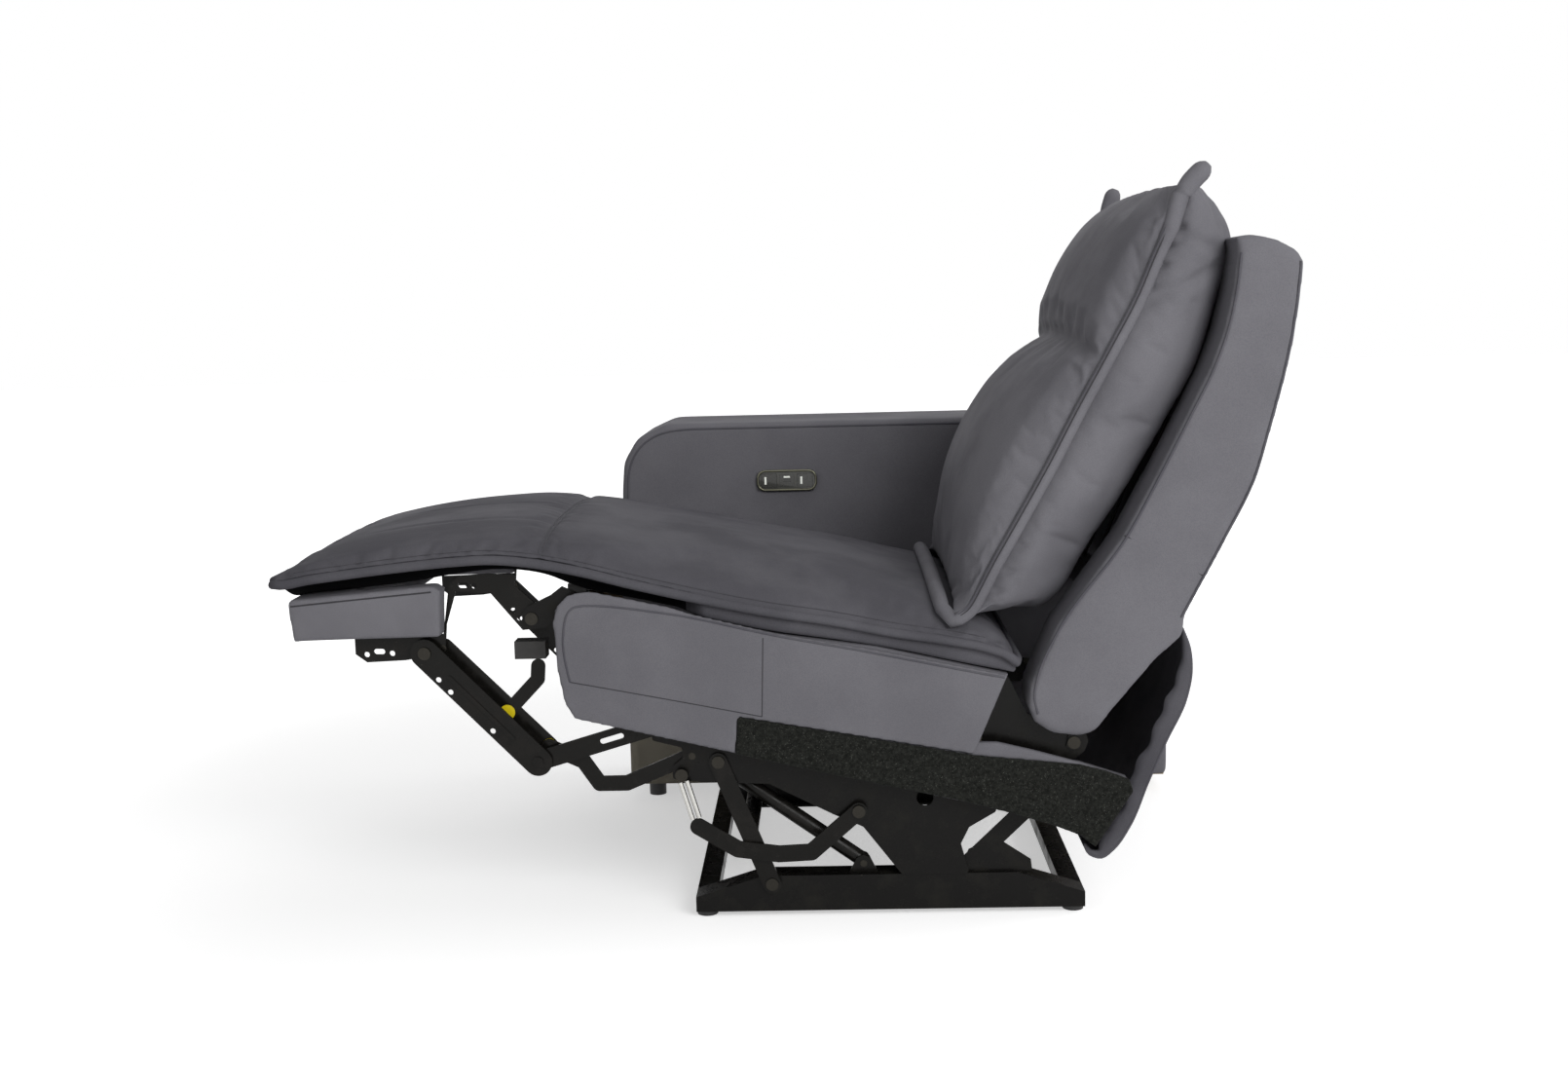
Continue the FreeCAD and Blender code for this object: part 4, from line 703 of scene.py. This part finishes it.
def tube_mesh(name, path, radius, material, sides=12, closed=True, taper=None):
    """Round roll along a path, as a mesh."""
    path = np.array(path)
    count = len(path)
    skew = Vector((0.37, 0.21, 0.91))
    points = []
    for index in range(count):
        before = path[index - 1] if closed or index else path[index]
        after = path[(index + 1) % count] if closed or index < count - 1 else path[index]
        run = Vector(after - before).normalized()
        across = run.cross(skew).normalized()
        other = run.cross(across)
        thick = radius if taper is None else radius * taper[index]
        for step in range(sides):
            angle = 2 * math.pi * step / sides
            points.append(Vector(path[index]) + (across * math.cos(angle) + other * math.sin(angle)) * thick)
    faces = []
    for index in range(count if closed else count - 1):
        start, following = index * sides, (index + 1) % count * sides
        turned = 0
        if closed and index == count - 1:
            turned = min(range(sides), key=lambda turn: (points[start] - points[following + turn]).length)
        for step in range(sides):
            after = (step + 1) % sides
            faces.append((start + step, start + after, following + (after + turned) % sides,
                          following + (step + turned) % sides))
    if not closed:
        faces.append(tuple(reversed(range(sides))))
        faces.append(tuple(range((count - 1) * sides, count * sides)))
    item = new_mesh(name, [tuple(point) for point in points], faces, material)
    smooth_shading(item)
    return item


SIMULATED_FRAMES = 20


def inflate(item, sewn, pressure, slack, cap):
    """Swell a sewn cover by cloth simulation: sewn points stay and no other moves past the cap."""
    start = np.empty(len(item.data.vertices) * 3)
    item.data.vertices.foreach_get("co", start)
    held = item.vertex_groups.new(name="sewn")
    held.add([int(index) for index in sewn], 1.0, "REPLACE")
    cloth = item.modifiers.new("cloth", "CLOTH")
    cloth.settings.quality = 4
    cloth.settings.vertex_group_mass = "sewn"
    cloth.settings.use_pressure = True
    cloth.settings.uniform_pressure_force = pressure
    cloth.settings.shrink_min = -slack
    cloth.settings.effector_weights.gravity = 0
    cloth.point_cache.frame_end = SIMULATED_FRAMES
    for number in range(1, SIMULATED_FRAMES + 1):
        bpy.context.scene.frame_set(number)
    swollen = item.evaluated_get(bpy.context.evaluated_depsgraph_get())
    end = np.empty_like(start)
    swollen.data.vertices.foreach_get("co", end)
    move = (end - start).reshape(-1, 3)
    length = np.linalg.norm(move, axis=1)
    move *= np.minimum(1, cap / np.maximum(length, 1e-9))[:, None]
    item.modifiers.remove(cloth)
    item.vertex_groups.remove(held)
    item.data.vertices.foreach_set("co", start + move.ravel())
    item.data.update()
    bpy.context.scene.frame_set(1)


def refine(item):
    """One subdivision, so that seams can be pressed into a fine surface."""
    item.modifiers.new("fine", "SUBSURF").levels = 1
    apply_modifiers(item)


def press(item, depth_at):
    """Draw the cover inwards along its normals, where a seam or a dimple pulls it."""
    mesh = item.data
    places = np.empty(len(mesh.vertices) * 3)
    mesh.vertices.foreach_get("co", places)
    normals = np.empty_like(places)
    mesh.vertex_normals.foreach_get("vector", normals)
    depth = depth_at(places.reshape(-1, 3))
    places -= (normals.reshape(-1, 3) * depth[:, None]).ravel()
    mesh.vertices.foreach_set("co", places)
    mesh.update()


def groove(distance, width):
    return np.exp(-(distance / width) ** 2)


def between(values, low, high, fade):
    """1 between two limits, falling to 0 over a short distance outside them."""
    return np.clip((values - low) / fade + 1, 0, 1) * np.clip((high - values) / fade + 1, 0, 1)


def sewn_line(item, points, towards, lift):
    """Points dropped onto a cover along a direction, and lifted off it a little."""
    tree = BVHTree.FromObject(item, bpy.context.evaluated_depsgraph_get())
    line = []
    for point in points:
        place = tree.ray_cast(Vector(point), Vector(towards))[0]
        if place is not None:
            line.append(tuple(place - Vector(towards) * lift))
    return line


# The pad's leather is a darker copy of the grey leather, as painted shade for its upward face.
pad_shaded_leather = leather("chaise_shaded_grey_leather", "#5d5c61", "#525156", gather=0.25)
pad_thread = new_material("chaise_grey_thread", {"Base Color": linear("#3b3a3f"), "Roughness": 0.8})[0]
CHAIR_MIDDLE = (side_low.y + side_high.y) / 2
PAD_HALF = 0.304
CROSS_SEAM = -0.327
# Place along the chair, underside, seam and crown of the pad, from its tip to its rear edge
PAD_LINE = [(-0.700, 0.486, 0.506, 0.006), (-0.690, 0.478, 0.505, 0.016), (-0.652, 0.481, 0.511, 0.024),
            (-0.612, 0.484, 0.516, 0.029), (-0.531, 0.491, 0.525, 0.034), (-0.450, 0.503, 0.532, 0.034),
            (-0.397, 0.508, 0.534, 0.034), (-0.330, 0.500, 0.527, 0.036), (-0.280, 0.480, 0.517, 0.041),
            (-0.201, 0.462, 0.496, 0.049), (-0.114, 0.442, 0.475, 0.056), (-0.016, 0.4195, 0.454, 0.057),
            (0.079, 0.4045, 0.438, 0.054), (0.160, 0.390, 0.421, 0.050), (0.239, 0.372, 0.408, 0.041),
            (0.292, 0.3605, 0.396, 0.028), (0.318, 0.3555, 0.385, 0.014), (0.327, 0.354, 0.377, 0.005)]
PAD_RINGS = 190
TOP_COUNT = 76
WALL_COUNT = 4
BELOW_COUNT = TOP_COUNT - 2 * WALL_COUNT
# The walls are set in under the footrest part, and come out flush over the seat
WALL_DEEP = 0.045
WALL_FLUSH = 0.006
WALL_STEP_START, WALL_STEP_LENGTH = -0.15, 0.05
WALL_BELOW_SEAM = 0.003
LEAST_HEIGHT = 0.004
CROSS_SEAM_HELD = 0.0045
across = -np.cos(np.linspace(0, math.pi, TOP_COUNT))
swell = np.power(np.maximum(1 - across ** 2, 0), 0.40)
pad_rings = []
pad_seams = []
for x, low_z, seam_z, crown in smooth_line(PAD_LINE, PAD_RINGS):
    seam_z = max(seam_z, low_z + LEAST_HEIGHT)
    top = [(x, CHAIR_MIDDLE + y * PAD_HALF, seam_z + z) for y, z in zip(across, crown * swell)]
    share = min(max((x - WALL_STEP_START) / WALL_STEP_LENGTH, 0), 1)
    inner = PAD_HALF - WALL_DEEP + (WALL_DEEP - WALL_FLUSH) * share * share * (3 - 2 * share)
    wall = np.linspace(seam_z - WALL_BELOW_SEAM, low_z, WALL_COUNT)
    far_wall = [(x, CHAIR_MIDDLE + inner, z) for z in wall]
    near_wall = [(x, CHAIR_MIDDLE - inner, z) for z in reversed(wall)]
    below = [(x, CHAIR_MIDDLE + y, low_z) for y in np.linspace(inner, -inner, BELOW_COUNT + 2)[1:-1]]
    pad_rings.append(top + far_wall + below + near_wall)
    pad_seams.append((x, seam_z))
pad = ring_mesh("chaise_cushion", pad_rings, pad_shaded_leather)
ring_size = len(pad_rings[0])
# Black cloth closes the pad below. In front of the seat it also runs up the recessed walls,
# where its black is painted shade under the roll.
WALL_SHADE_END = -0.13
pad.data.materials.append(new_material("chaise_black_cloth_and_painted_shade", {
    "Base Color": linear("#161617"), "Roughness": 0.95, "Specular IOR Level": 0.05})[0])
for ring in range(PAD_RINGS - 1):
    for step in range(TOP_COUNT, ring_size - 1):
        on_wall = step < TOP_COUNT + WALL_COUNT or step >= ring_size - WALL_COUNT
        if not on_wall or pad_seams[ring][0] < WALL_SHADE_END:
            pad.data.polygons[ring * ring_size + step].material_index = 1
sewn = [ring * ring_size + step for ring in range(PAD_RINGS) for step in range(ring_size)
        if step == 0 or step >= TOP_COUNT - 1 or ring in (0, PAD_RINGS - 1)
        or abs(pad_seams[ring][0] - CROSS_SEAM) < CROSS_SEAM_HELD]
inflate(pad, sewn, pressure=4.0, slack=0.025, cap=0.006)
refine(pad)
CHANNELS = (-0.28, -0.12, 0.04)
CHANNELS_START = -0.56
CHANNEL_DEPTH = 0.0022
CHANNEL_FADE = 0.05
CROSS_SEAM_DEPTH = 0.0018
GROOVE_WIDTH = 0.006


def pad_depth(places):
    """The double cross seam and the three channels of the footrest part."""
    x, y = places[:, 0], places[:, 1]
    above = places[:, 2] > np.interp(x, [seam[0] for seam in pad_seams], [seam[1] for seam in pad_seams])
    depth = CROSS_SEAM_DEPTH * groove(x - CROSS_SEAM, GROOVE_WIDTH)
    along = between(x, CHANNELS_START, CROSS_SEAM, CHANNEL_FADE)
    for channel in CHANNELS:
        depth += CHANNEL_DEPTH * groove(y - channel, GROOVE_WIDTH) * along
    return depth * above


press(pad, pad_depth)
ROLL_RADIUS = 0.0068
ROLL_DROP = ROLL_RADIUS * 0.9
ROLL_INSET = 0.0015
ROLL_CORNER = 0.02
roll_half = PAD_HALF - ROLL_INSET
roll_side = smooth_line(pad_seams, 110)
near_roll = [(x, CHAIR_MIDDLE - roll_half, z - ROLL_DROP) for x, z in roll_side]
far_roll = [(x, CHAIR_MIDDLE + roll_half, z - ROLL_DROP) for x, z in reversed(roll_side)]
tip_x, tip_z = pad_seams[0]
end_x, end_z = pad_seams[-1]
roll_across = np.linspace(-PAD_HALF + ROLL_CORNER, PAD_HALF - ROLL_CORNER, 30)
tip_roll = [(tip_x - 0.004, CHAIR_MIDDLE + y, tip_z - 0.004) for y in reversed(roll_across)]
end_roll = [(end_x + 0.003, CHAIR_MIDDLE + y, end_z - 0.005) for y in roll_across]
pad_roll = tube_mesh("chaise_roll", near_roll + end_roll + far_roll + tip_roll, ROLL_RADIUS, pad_shaded_leather)
STITCH = 0.0007
TWIN_SEAM = 0.003
TOPSTITCH_RISE = 0.007
# Seams are dropped onto the pad from well outside it, above or beside
DROP_FROM = 1.0
SIDE_FROM = 0.5
chaise_pieces = [pad, pad_roll]
seam_across = np.linspace(-PAD_HALF + 0.004, PAD_HALF - 0.004, 90)
for part, x in (("front", CROSS_SEAM - TWIN_SEAM), ("rear", CROSS_SEAM + TWIN_SEAM)):
    places = [(x, CHAIR_MIDDLE + y, DROP_FROM) for y in seam_across]
    line = sewn_line(pad, places, towards=(0, 0, -1), lift=0.0003)
    chaise_pieces.append(tube_mesh(f"chaise_cross_seam_{part}", line, STITCH, pad_thread, sides=6,
                                   closed=False))
for side, sign in (("near", -1), ("far", 1)):
    places = [(x, CHAIR_MIDDLE + sign * SIDE_FROM, z + TOPSTITCH_RISE) for x, z in roll_side[3:-5]]
    line = sewn_line(pad, places, towards=(0, -sign, 0), lift=0.0002)
    chaise_pieces.append(tube_mesh(f"chaise_topstitch_{side}", line, STITCH, pad_thread, sides=6,
                                   closed=False))
for item in chaise_pieces:
    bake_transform(item)
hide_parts("seat_cushion", "footrest_pad")


# The back's shell has a padded wing on each side and a leather panel behind, over plywood
# sides. A welt runs down each wing's front and rear edge and a seam crosses it low down.
shell_leather = leather("back_grey_leather", "#757479", "#6e6d72", gather=0.22)
WING_FRONT = [(0.382, 0.420), (0.472, 0.543), (0.519, 0.630), (0.561, 0.713), (0.589, 0.770), (0.607, 0.820),
              (0.619, 0.877), (0.624, 0.924)]
WING_REAR = [(0.712, 0.908), (0.708, 0.860), (0.700, 0.803), (0.690, 0.755), (0.676, 0.700), (0.653, 0.617),
             (0.608, 0.526), (0.557, 0.430)]
WING_TOP = [(0.621, 0.943), (0.643, 0.945), (0.675, 0.938), (0.702, 0.923)]
WING_BOTTOM = [(0.555, 0.404), (0.518, 0.371), (0.457, 0.299), (0.437, 0.272), (0.414, 0.264),
               (0.375, 0.270), (0.352, 0.285), (0.343, 0.308), (0.346, 0.338)]
WING_OUTLINE = WING_FRONT + WING_TOP + WING_REAR + WING_BOTTOM
WING_WIDTH = 0.098
WELT_SUNK = 0.001
# Each line's name, radius, finish and places along and up the wing
WING_LINES = (
    ("front_welt", 0.0018, welt_leather,
     smooth_line([(0.356, 0.298), (0.351, 0.320), (0.356, 0.350)]
                 + [(x + 0.004, z - 0.003) for x, z in WING_FRONT], 60)),
    ("rear_welt", 0.0018, welt_leather, smooth_line([(x - 0.005, z) for x, z in WING_REAR], 40)),
    ("cross_seam", 0.0009, seam_thread, [(0.474, 0.545), (0.53, 0.514), (0.583, 0.486)]))
for side, near, far in both_sides(proud=0, depth=WING_WIDTH):
    wing = padded_block(f"back_wing_{side}", WING_OUTLINE, near, far, shell_leather, voxel=0.0055, rounds=5)
    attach(wing, "back")
    if side == "near":
        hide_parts("back_side_covers", "back_side_boards")
    face_y = near + WELT_SUNK if side == "near" else far - WELT_SUNK
    for part, radius, finish, line in WING_LINES:
        seam = strand(f"back_wing_{part}_{side}", [(x, face_y, z) for x, z in line], radius, finish)
        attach(seam, "back")
PANEL_THICKNESS = 0.022
PANEL_OVERLAP = 0.003
PANEL_OUTLINE = ([(0.690, 0.929), (0.657, 0.936), (0.650, 0.90)]
                 + [(x - PANEL_THICKNESS, z) for x, z in WING_REAR[1:]] + WING_REAR[::-1])
rear_panel = padded_block("back_rear_panel", PANEL_OUTLINE, side_low.y + WING_WIDTH - PANEL_OVERLAP,
                          side_high.y - WING_WIDTH + PANEL_OVERLAP, shell_leather, voxel=0.0065, rounds=4)
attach(rear_panel, "back")
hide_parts("back_panel")


# The back cushion is a loose pillow in two puffs. A fat rolled edge runs down both sides and
# along the bottom, ends in an ear at each top corner, and stands proud of the gusset behind it.
cushion_leather = leather("cushion_grey_leather", "#757479", "#6b6a6f", gather=0.3)
# Edge of the front panel, middle of the front panel and gusset's rear edge, bottom to top
PIPED_EDGE = [(0.236, 0.432), (0.258, 0.446), (0.276, 0.475), (0.290, 0.502), (0.324, 0.562), (0.368, 0.640),
              (0.411, 0.722), (0.455, 0.802), (0.490, 0.868), (0.512, 0.920), (0.536, 0.974), (0.556, 1.012)]
MIDDLE_LINE = [(0.246, 0.462), (0.247, 0.487), (0.247, 0.520), (0.251, 0.548), (0.262, 0.610),
               (0.286, 0.672), (0.326, 0.735), (0.391, 0.803), (0.419, 0.862), (0.444, 0.920),
               (0.482, 0.973), (0.538, 1.018)]
REAR_EDGE = [(0.296, 0.434), (0.336, 0.432), (0.374, 0.432), (0.392, 0.445), (0.440, 0.520), (0.488, 0.590),
             (0.540, 0.680), (0.590, 0.770), (0.616, 0.850), (0.634, 0.905), (0.638, 0.944), (0.616, 0.990),
             (0.592, 1.014)]
CUSHION_HALF = 0.300
REAR_HALF = 0.205
CUSHION_RINGS = 130
FACE_COUNT = 62
GUSSET_COUNT = 14
REAR_COUNT = 40
# The pinch between the two puffs, and the recess of the gusset just behind the rolled edge
PINCH_DEPTH = 0.022
PINCH_RINGS = 2.6
RECESS_DEPTH = 0.024
RECESS_SHARE = 0.17
GUSSET_BULGE = 0.006
CREASE_PLACE = (0.402, 0.812)
piped, middle, rear_line = (smooth_line(line, CUSHION_RINGS) for line in (PIPED_EDGE, MIDDLE_LINE, REAR_EDGE))
crease_ring = int(np.argmin(np.linalg.norm(middle - np.array(CREASE_PLACE), axis=1)))
across = -np.cos(np.linspace(0, math.pi, FACE_COUNT))
swell = np.power(np.maximum(1 - across ** 2, 0), 0.42)
cushion_rings = []
for ring, (edge, mid, back) in enumerate(zip(piped, middle, rear_line)):
    pinch = PINCH_DEPTH * math.exp(-((ring - crease_ring) / PINCH_RINGS) ** 2)
    face = [(edge[0] + (mid[0] - edge[0] + pinch) * f, CHAIR_MIDDLE + y * CUSHION_HALF,
             edge[1] + (mid[1] - edge[1]) * f) for y, f in zip(across, swell)]
    far_side = []
    for t in np.linspace(0, 1, GUSSET_COUNT + 2)[1:-1]:
        recess = RECESS_DEPTH * math.exp(-(t / RECESS_SHARE) ** 2)
        y = (CUSHION_HALF - recess + (REAR_HALF - CUSHION_HALF) * t ** 2.2
             + GUSSET_BULGE * math.sin(math.pi * t))
        far_side.append((edge[0] + (back[0] - edge[0]) * t, CHAIR_MIDDLE + y,
                         edge[1] + (back[1] - edge[1]) * t))
    near_side = [(x, 2 * CHAIR_MIDDLE - y, z) for x, y, z in reversed(far_side)]
    behind = [(back[0], CHAIR_MIDDLE + y, back[1]) for y in np.linspace(REAR_HALF, -REAR_HALF, REAR_COUNT)]
    cushion_rings.append(face + far_side + behind + near_side)
cushion = ring_mesh("back_cushion_cover", cushion_rings, cushion_leather)
ring_size = len(cushion_rings[0])
rear_start = FACE_COUNT + GUSSET_COUNT
recessed = (ring_size - 2, ring_size - 1, 0, FACE_COUNT - 1, FACE_COUNT, FACE_COUNT + 1)
sewn = [ring * ring_size + step for ring in range(CUSHION_RINGS) for step in range(ring_size)
        if step in recessed or rear_start <= step < rear_start + REAR_COUNT
        or ring in (0, CUSHION_RINGS - 1) or abs(ring - crease_ring) < 2 and step < FACE_COUNT]
inflate(cushion, sewn, pressure=4.0, slack=0.022, cap=0.007)
refine(cushion)
# Gathers behind the rolled edge near the ears and near the bottom corners: place along and up
# the gusset, and depth
GATHERS = [(0.541, 0.958, 0.006), (0.527, 0.935, 0.006), (0.519, 0.908, 0.006), (0.505, 0.878, 0.005),
           (0.312, 0.497, 0.004), (0.298, 0.470, 0.005), (0.286, 0.452, 0.005), (0.330, 0.532, 0.003)]
GATHER_WIDTH = 0.010
GATHER_SQUAT = 1.8
# Long soft folds of the gusset: place of both ends, width and depth
FOLDS = [((0.610, 0.905), (0.510, 0.860), 0.010, 0.005), ((0.600, 0.930), (0.552, 0.945), 0.008, 0.004),
         ((0.500, 0.700), (0.455, 0.690), 0.016, 0.003), ((0.395, 0.500), (0.330, 0.470), 0.018, 0.003)]
FOLD_FADE = 0.02
BEHIND_ROLL = 0.006


def gusset_depth(places):
    """Small gathers and long folds on both gussets, none on the front."""
    x, z = places[:, 0], places[:, 2]
    edge_x = np.interp(z, piped[:, 1], piped[:, 0])
    side = (x > edge_x + BEHIND_ROLL) & (np.abs(places[:, 1] - CHAIR_MIDDLE) > REAR_HALF)
    depth = np.zeros(len(places))
    for gather_x, gather_z, deep in GATHERS:
        off = np.hypot(x - gather_x - BEHIND_ROLL, (z - gather_z) * GATHER_SQUAT)
        depth += deep * groove(off, GATHER_WIDTH)
    for (first_x, first_z), (last_x, last_z), width, deep in FOLDS:
        run = np.array([last_x - first_x, last_z - first_z])
        length = np.hypot(*run)
        along = ((x - first_x) * run[0] + (z - first_z) * run[1]) / length
        off = ((z - first_z) * run[0] - (x - first_x) * run[1]) / length
        depth += deep * groove(off, width) * between(along, 0, length, FOLD_FADE)
    return depth * side


press(cushion, gusset_depth)
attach(cushion, "back")
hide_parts("back_cushion", "head_cushion")
EAR_NEAR = [(0.549, 0.999), (0.563, 1.017), (0.576, 1.030), (0.584, 1.038)]
EAR_FAR = [(0.547, 0.999), (0.553, 1.017), (0.558, 1.033), (0.563, 1.045)]
EDGE_THICK = 0.0092
EAR_THICK = 0.0136
BOTTOM_THICK = 0.0112
BOTTOM_X, BOTTOM_Z = 0.229, 0.4345
BOTTOM_FORWARD = 0.008
BOTTOM_RISE = 0.036
near_y = CHAIR_MIDDLE - CUSHION_HALF
far_y = CHAIR_MIDDLE + CUSHION_HALF
ROLL_BACK, ROLL_DOWN = 0.006, 0.003
side_line = [(x + ROLL_BACK, z - ROLL_DOWN) for x, z in smooth_line(PIPED_EDGE[:-1], 90)[:-2]]
near_path = [(x, near_y, z, EDGE_THICK) for x, z in side_line[::-1]]
near_ear = [(x, near_y, z, EAR_THICK) for x, z in smooth_line(EAR_NEAR, 12)]
far_ear = [(x, far_y, z, EAR_THICK) for x, z in smooth_line(EAR_FAR, 12)]
far_path = [(x, far_y, z, EDGE_THICK) for x, z in side_line]
bottom_path = []
for share in np.linspace(0.03, 0.97, 50):
    arch = (1 - (2 * share - 1) ** 2) ** 0.6
    bottom_path.append((BOTTOM_X - BOTTOM_FORWARD * arch, near_y + (far_y - near_y) * share,
                        BOTTOM_Z + BOTTOM_RISE * arch, BOTTOM_THICK))
edge_route = near_ear[::-1] + near_path + bottom_path + far_path + far_ear
edge_path = [point[:3] for point in edge_route]
# The thickness is averaged over nine places, and both tips are rounded off
thickness = np.array([point[3] for point in edge_route])
thickness = np.convolve(np.pad(thickness, 4, mode="edge"), np.ones(9) / 9, mode="valid")
TIP_ROUNDING = np.array([0.45, 0.78, 0.94])
thickness[:3] *= TIP_ROUNDING
thickness[-3:] *= TIP_ROUNDING[::-1]
edge_roll = tube_mesh("cushion_edge_roll", edge_path, 1.0, cushion_leather, sides=16, closed=False,
                      taper=list(thickness))
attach(edge_roll, "back")
# Each line's name, distance ahead of the roll's middle and out from it, radius and finish
EDGE_LINES = (("seam", 0.0046, 0.0080, 0.0009, seam_thread), ("welt", 0.0072, 0.0061, 0.0013, welt_leather))
# The way ahead of the leaning cushion, along the chair and up
AHEAD_X, AHEAD_Z = -0.86, 0.5
for side, y, sign in (("near", near_y, -1), ("far", far_y, 1)):
    for part, ahead, out, radius, finish in EDGE_LINES:
        line = [(x + ahead * AHEAD_X, y + sign * out, z + ahead * AHEAD_Z) for x, z in side_line[2:]]
        seam = strand(f"cushion_{part}_{side}", line, radius, finish)
        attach(seam, "back")


# A leather skirt hangs from the back's lower edge, sweeps under the seat's rear end and is
# tacked to it. Its side edges are turned in and corded.
SKIRT_LINE = [(0.556, 0.412), (0.566, 0.385), (0.569, 0.353), (0.561, 0.310), (0.536, 0.256), (0.510, 0.195),
              (0.484, 0.131), (0.462, 0.099), (0.445, 0.087), (0.428, 0.093), (0.4215, 0.107)]
SKIRT_ROWS = 70
SKIRT_COLUMNS = 60
SKIRT_HALF = 0.296
SKIRT_SAG = 0.003
SKIRT_THICKNESS = 0.0022
HEM_WIDTH = 0.022
HEM_WAVE = 0.22
CORD_RADIUS = 0.0017
skirt_leather = leather("skirt_grey_leather", "#5b5a5f", "#4d4c51", gather=0.4)
profile = smooth_line(SKIRT_LINE, SKIRT_ROWS)
runs = np.gradient(profile, axis=0)
runs /= np.linalg.norm(runs, axis=1)[:, None]
inward = np.stack([runs[:, 1], -runs[:, 0]], axis=1)
flat_part = [(0.0, y) for y in np.linspace(-SKIRT_HALF + 0.002, SKIRT_HALF - 0.002, SKIRT_COLUMNS)]
skirt_points = []
for row, ((x, z), (in_x, in_z)) in enumerate(zip(profile, inward)):
    share = row / (SKIRT_ROWS - 1)
    fullness = min(1, 5 * share, 6 * (1 - share))
    wave = 1 + HEM_WAVE * math.sin(0.55 * row) * math.sin(0.21 * row + 1)
    hem = [(HEM_WIDTH * fullness * wave, -SKIRT_HALF + 0.006),
           (HEM_WIDTH * 0.6 * fullness, -SKIRT_HALF + 0.002), (HEM_WIDTH * 0.2 * fullness, -SKIRT_HALF)]
    for inset, y in hem + flat_part + [(inset, -y) for inset, y in reversed(hem)]:
        sag = SKIRT_SAG * math.sin(math.pi * share) * math.cos(y / SKIRT_HALF * math.pi / 2)
        skirt_points.append((x + (inset + sag) * in_x, CHAIR_MIDDLE + y, z + (inset + sag) * in_z))
skirt = new_mesh("rear_skirt", skirt_points, grid_faces(SKIRT_ROWS, len(skirt_points) // SKIRT_ROWS),
                 skirt_leather)
thicken(skirt, SKIRT_THICKNESS)
skirt_pieces = [skirt]
for side, sign in (("near", -1), ("far", 1)):
    path = [(x, CHAIR_MIDDLE + sign * SKIRT_HALF, z) for x, z in profile]
    skirt_pieces.append(tube_mesh(f"skirt_cord_{side}", path, CORD_RADIUS, welt_leather, sides=8,
                                  closed=False))
for item in skirt_pieces:
    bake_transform(item)
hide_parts("upper_skirt", "lower_skirt")
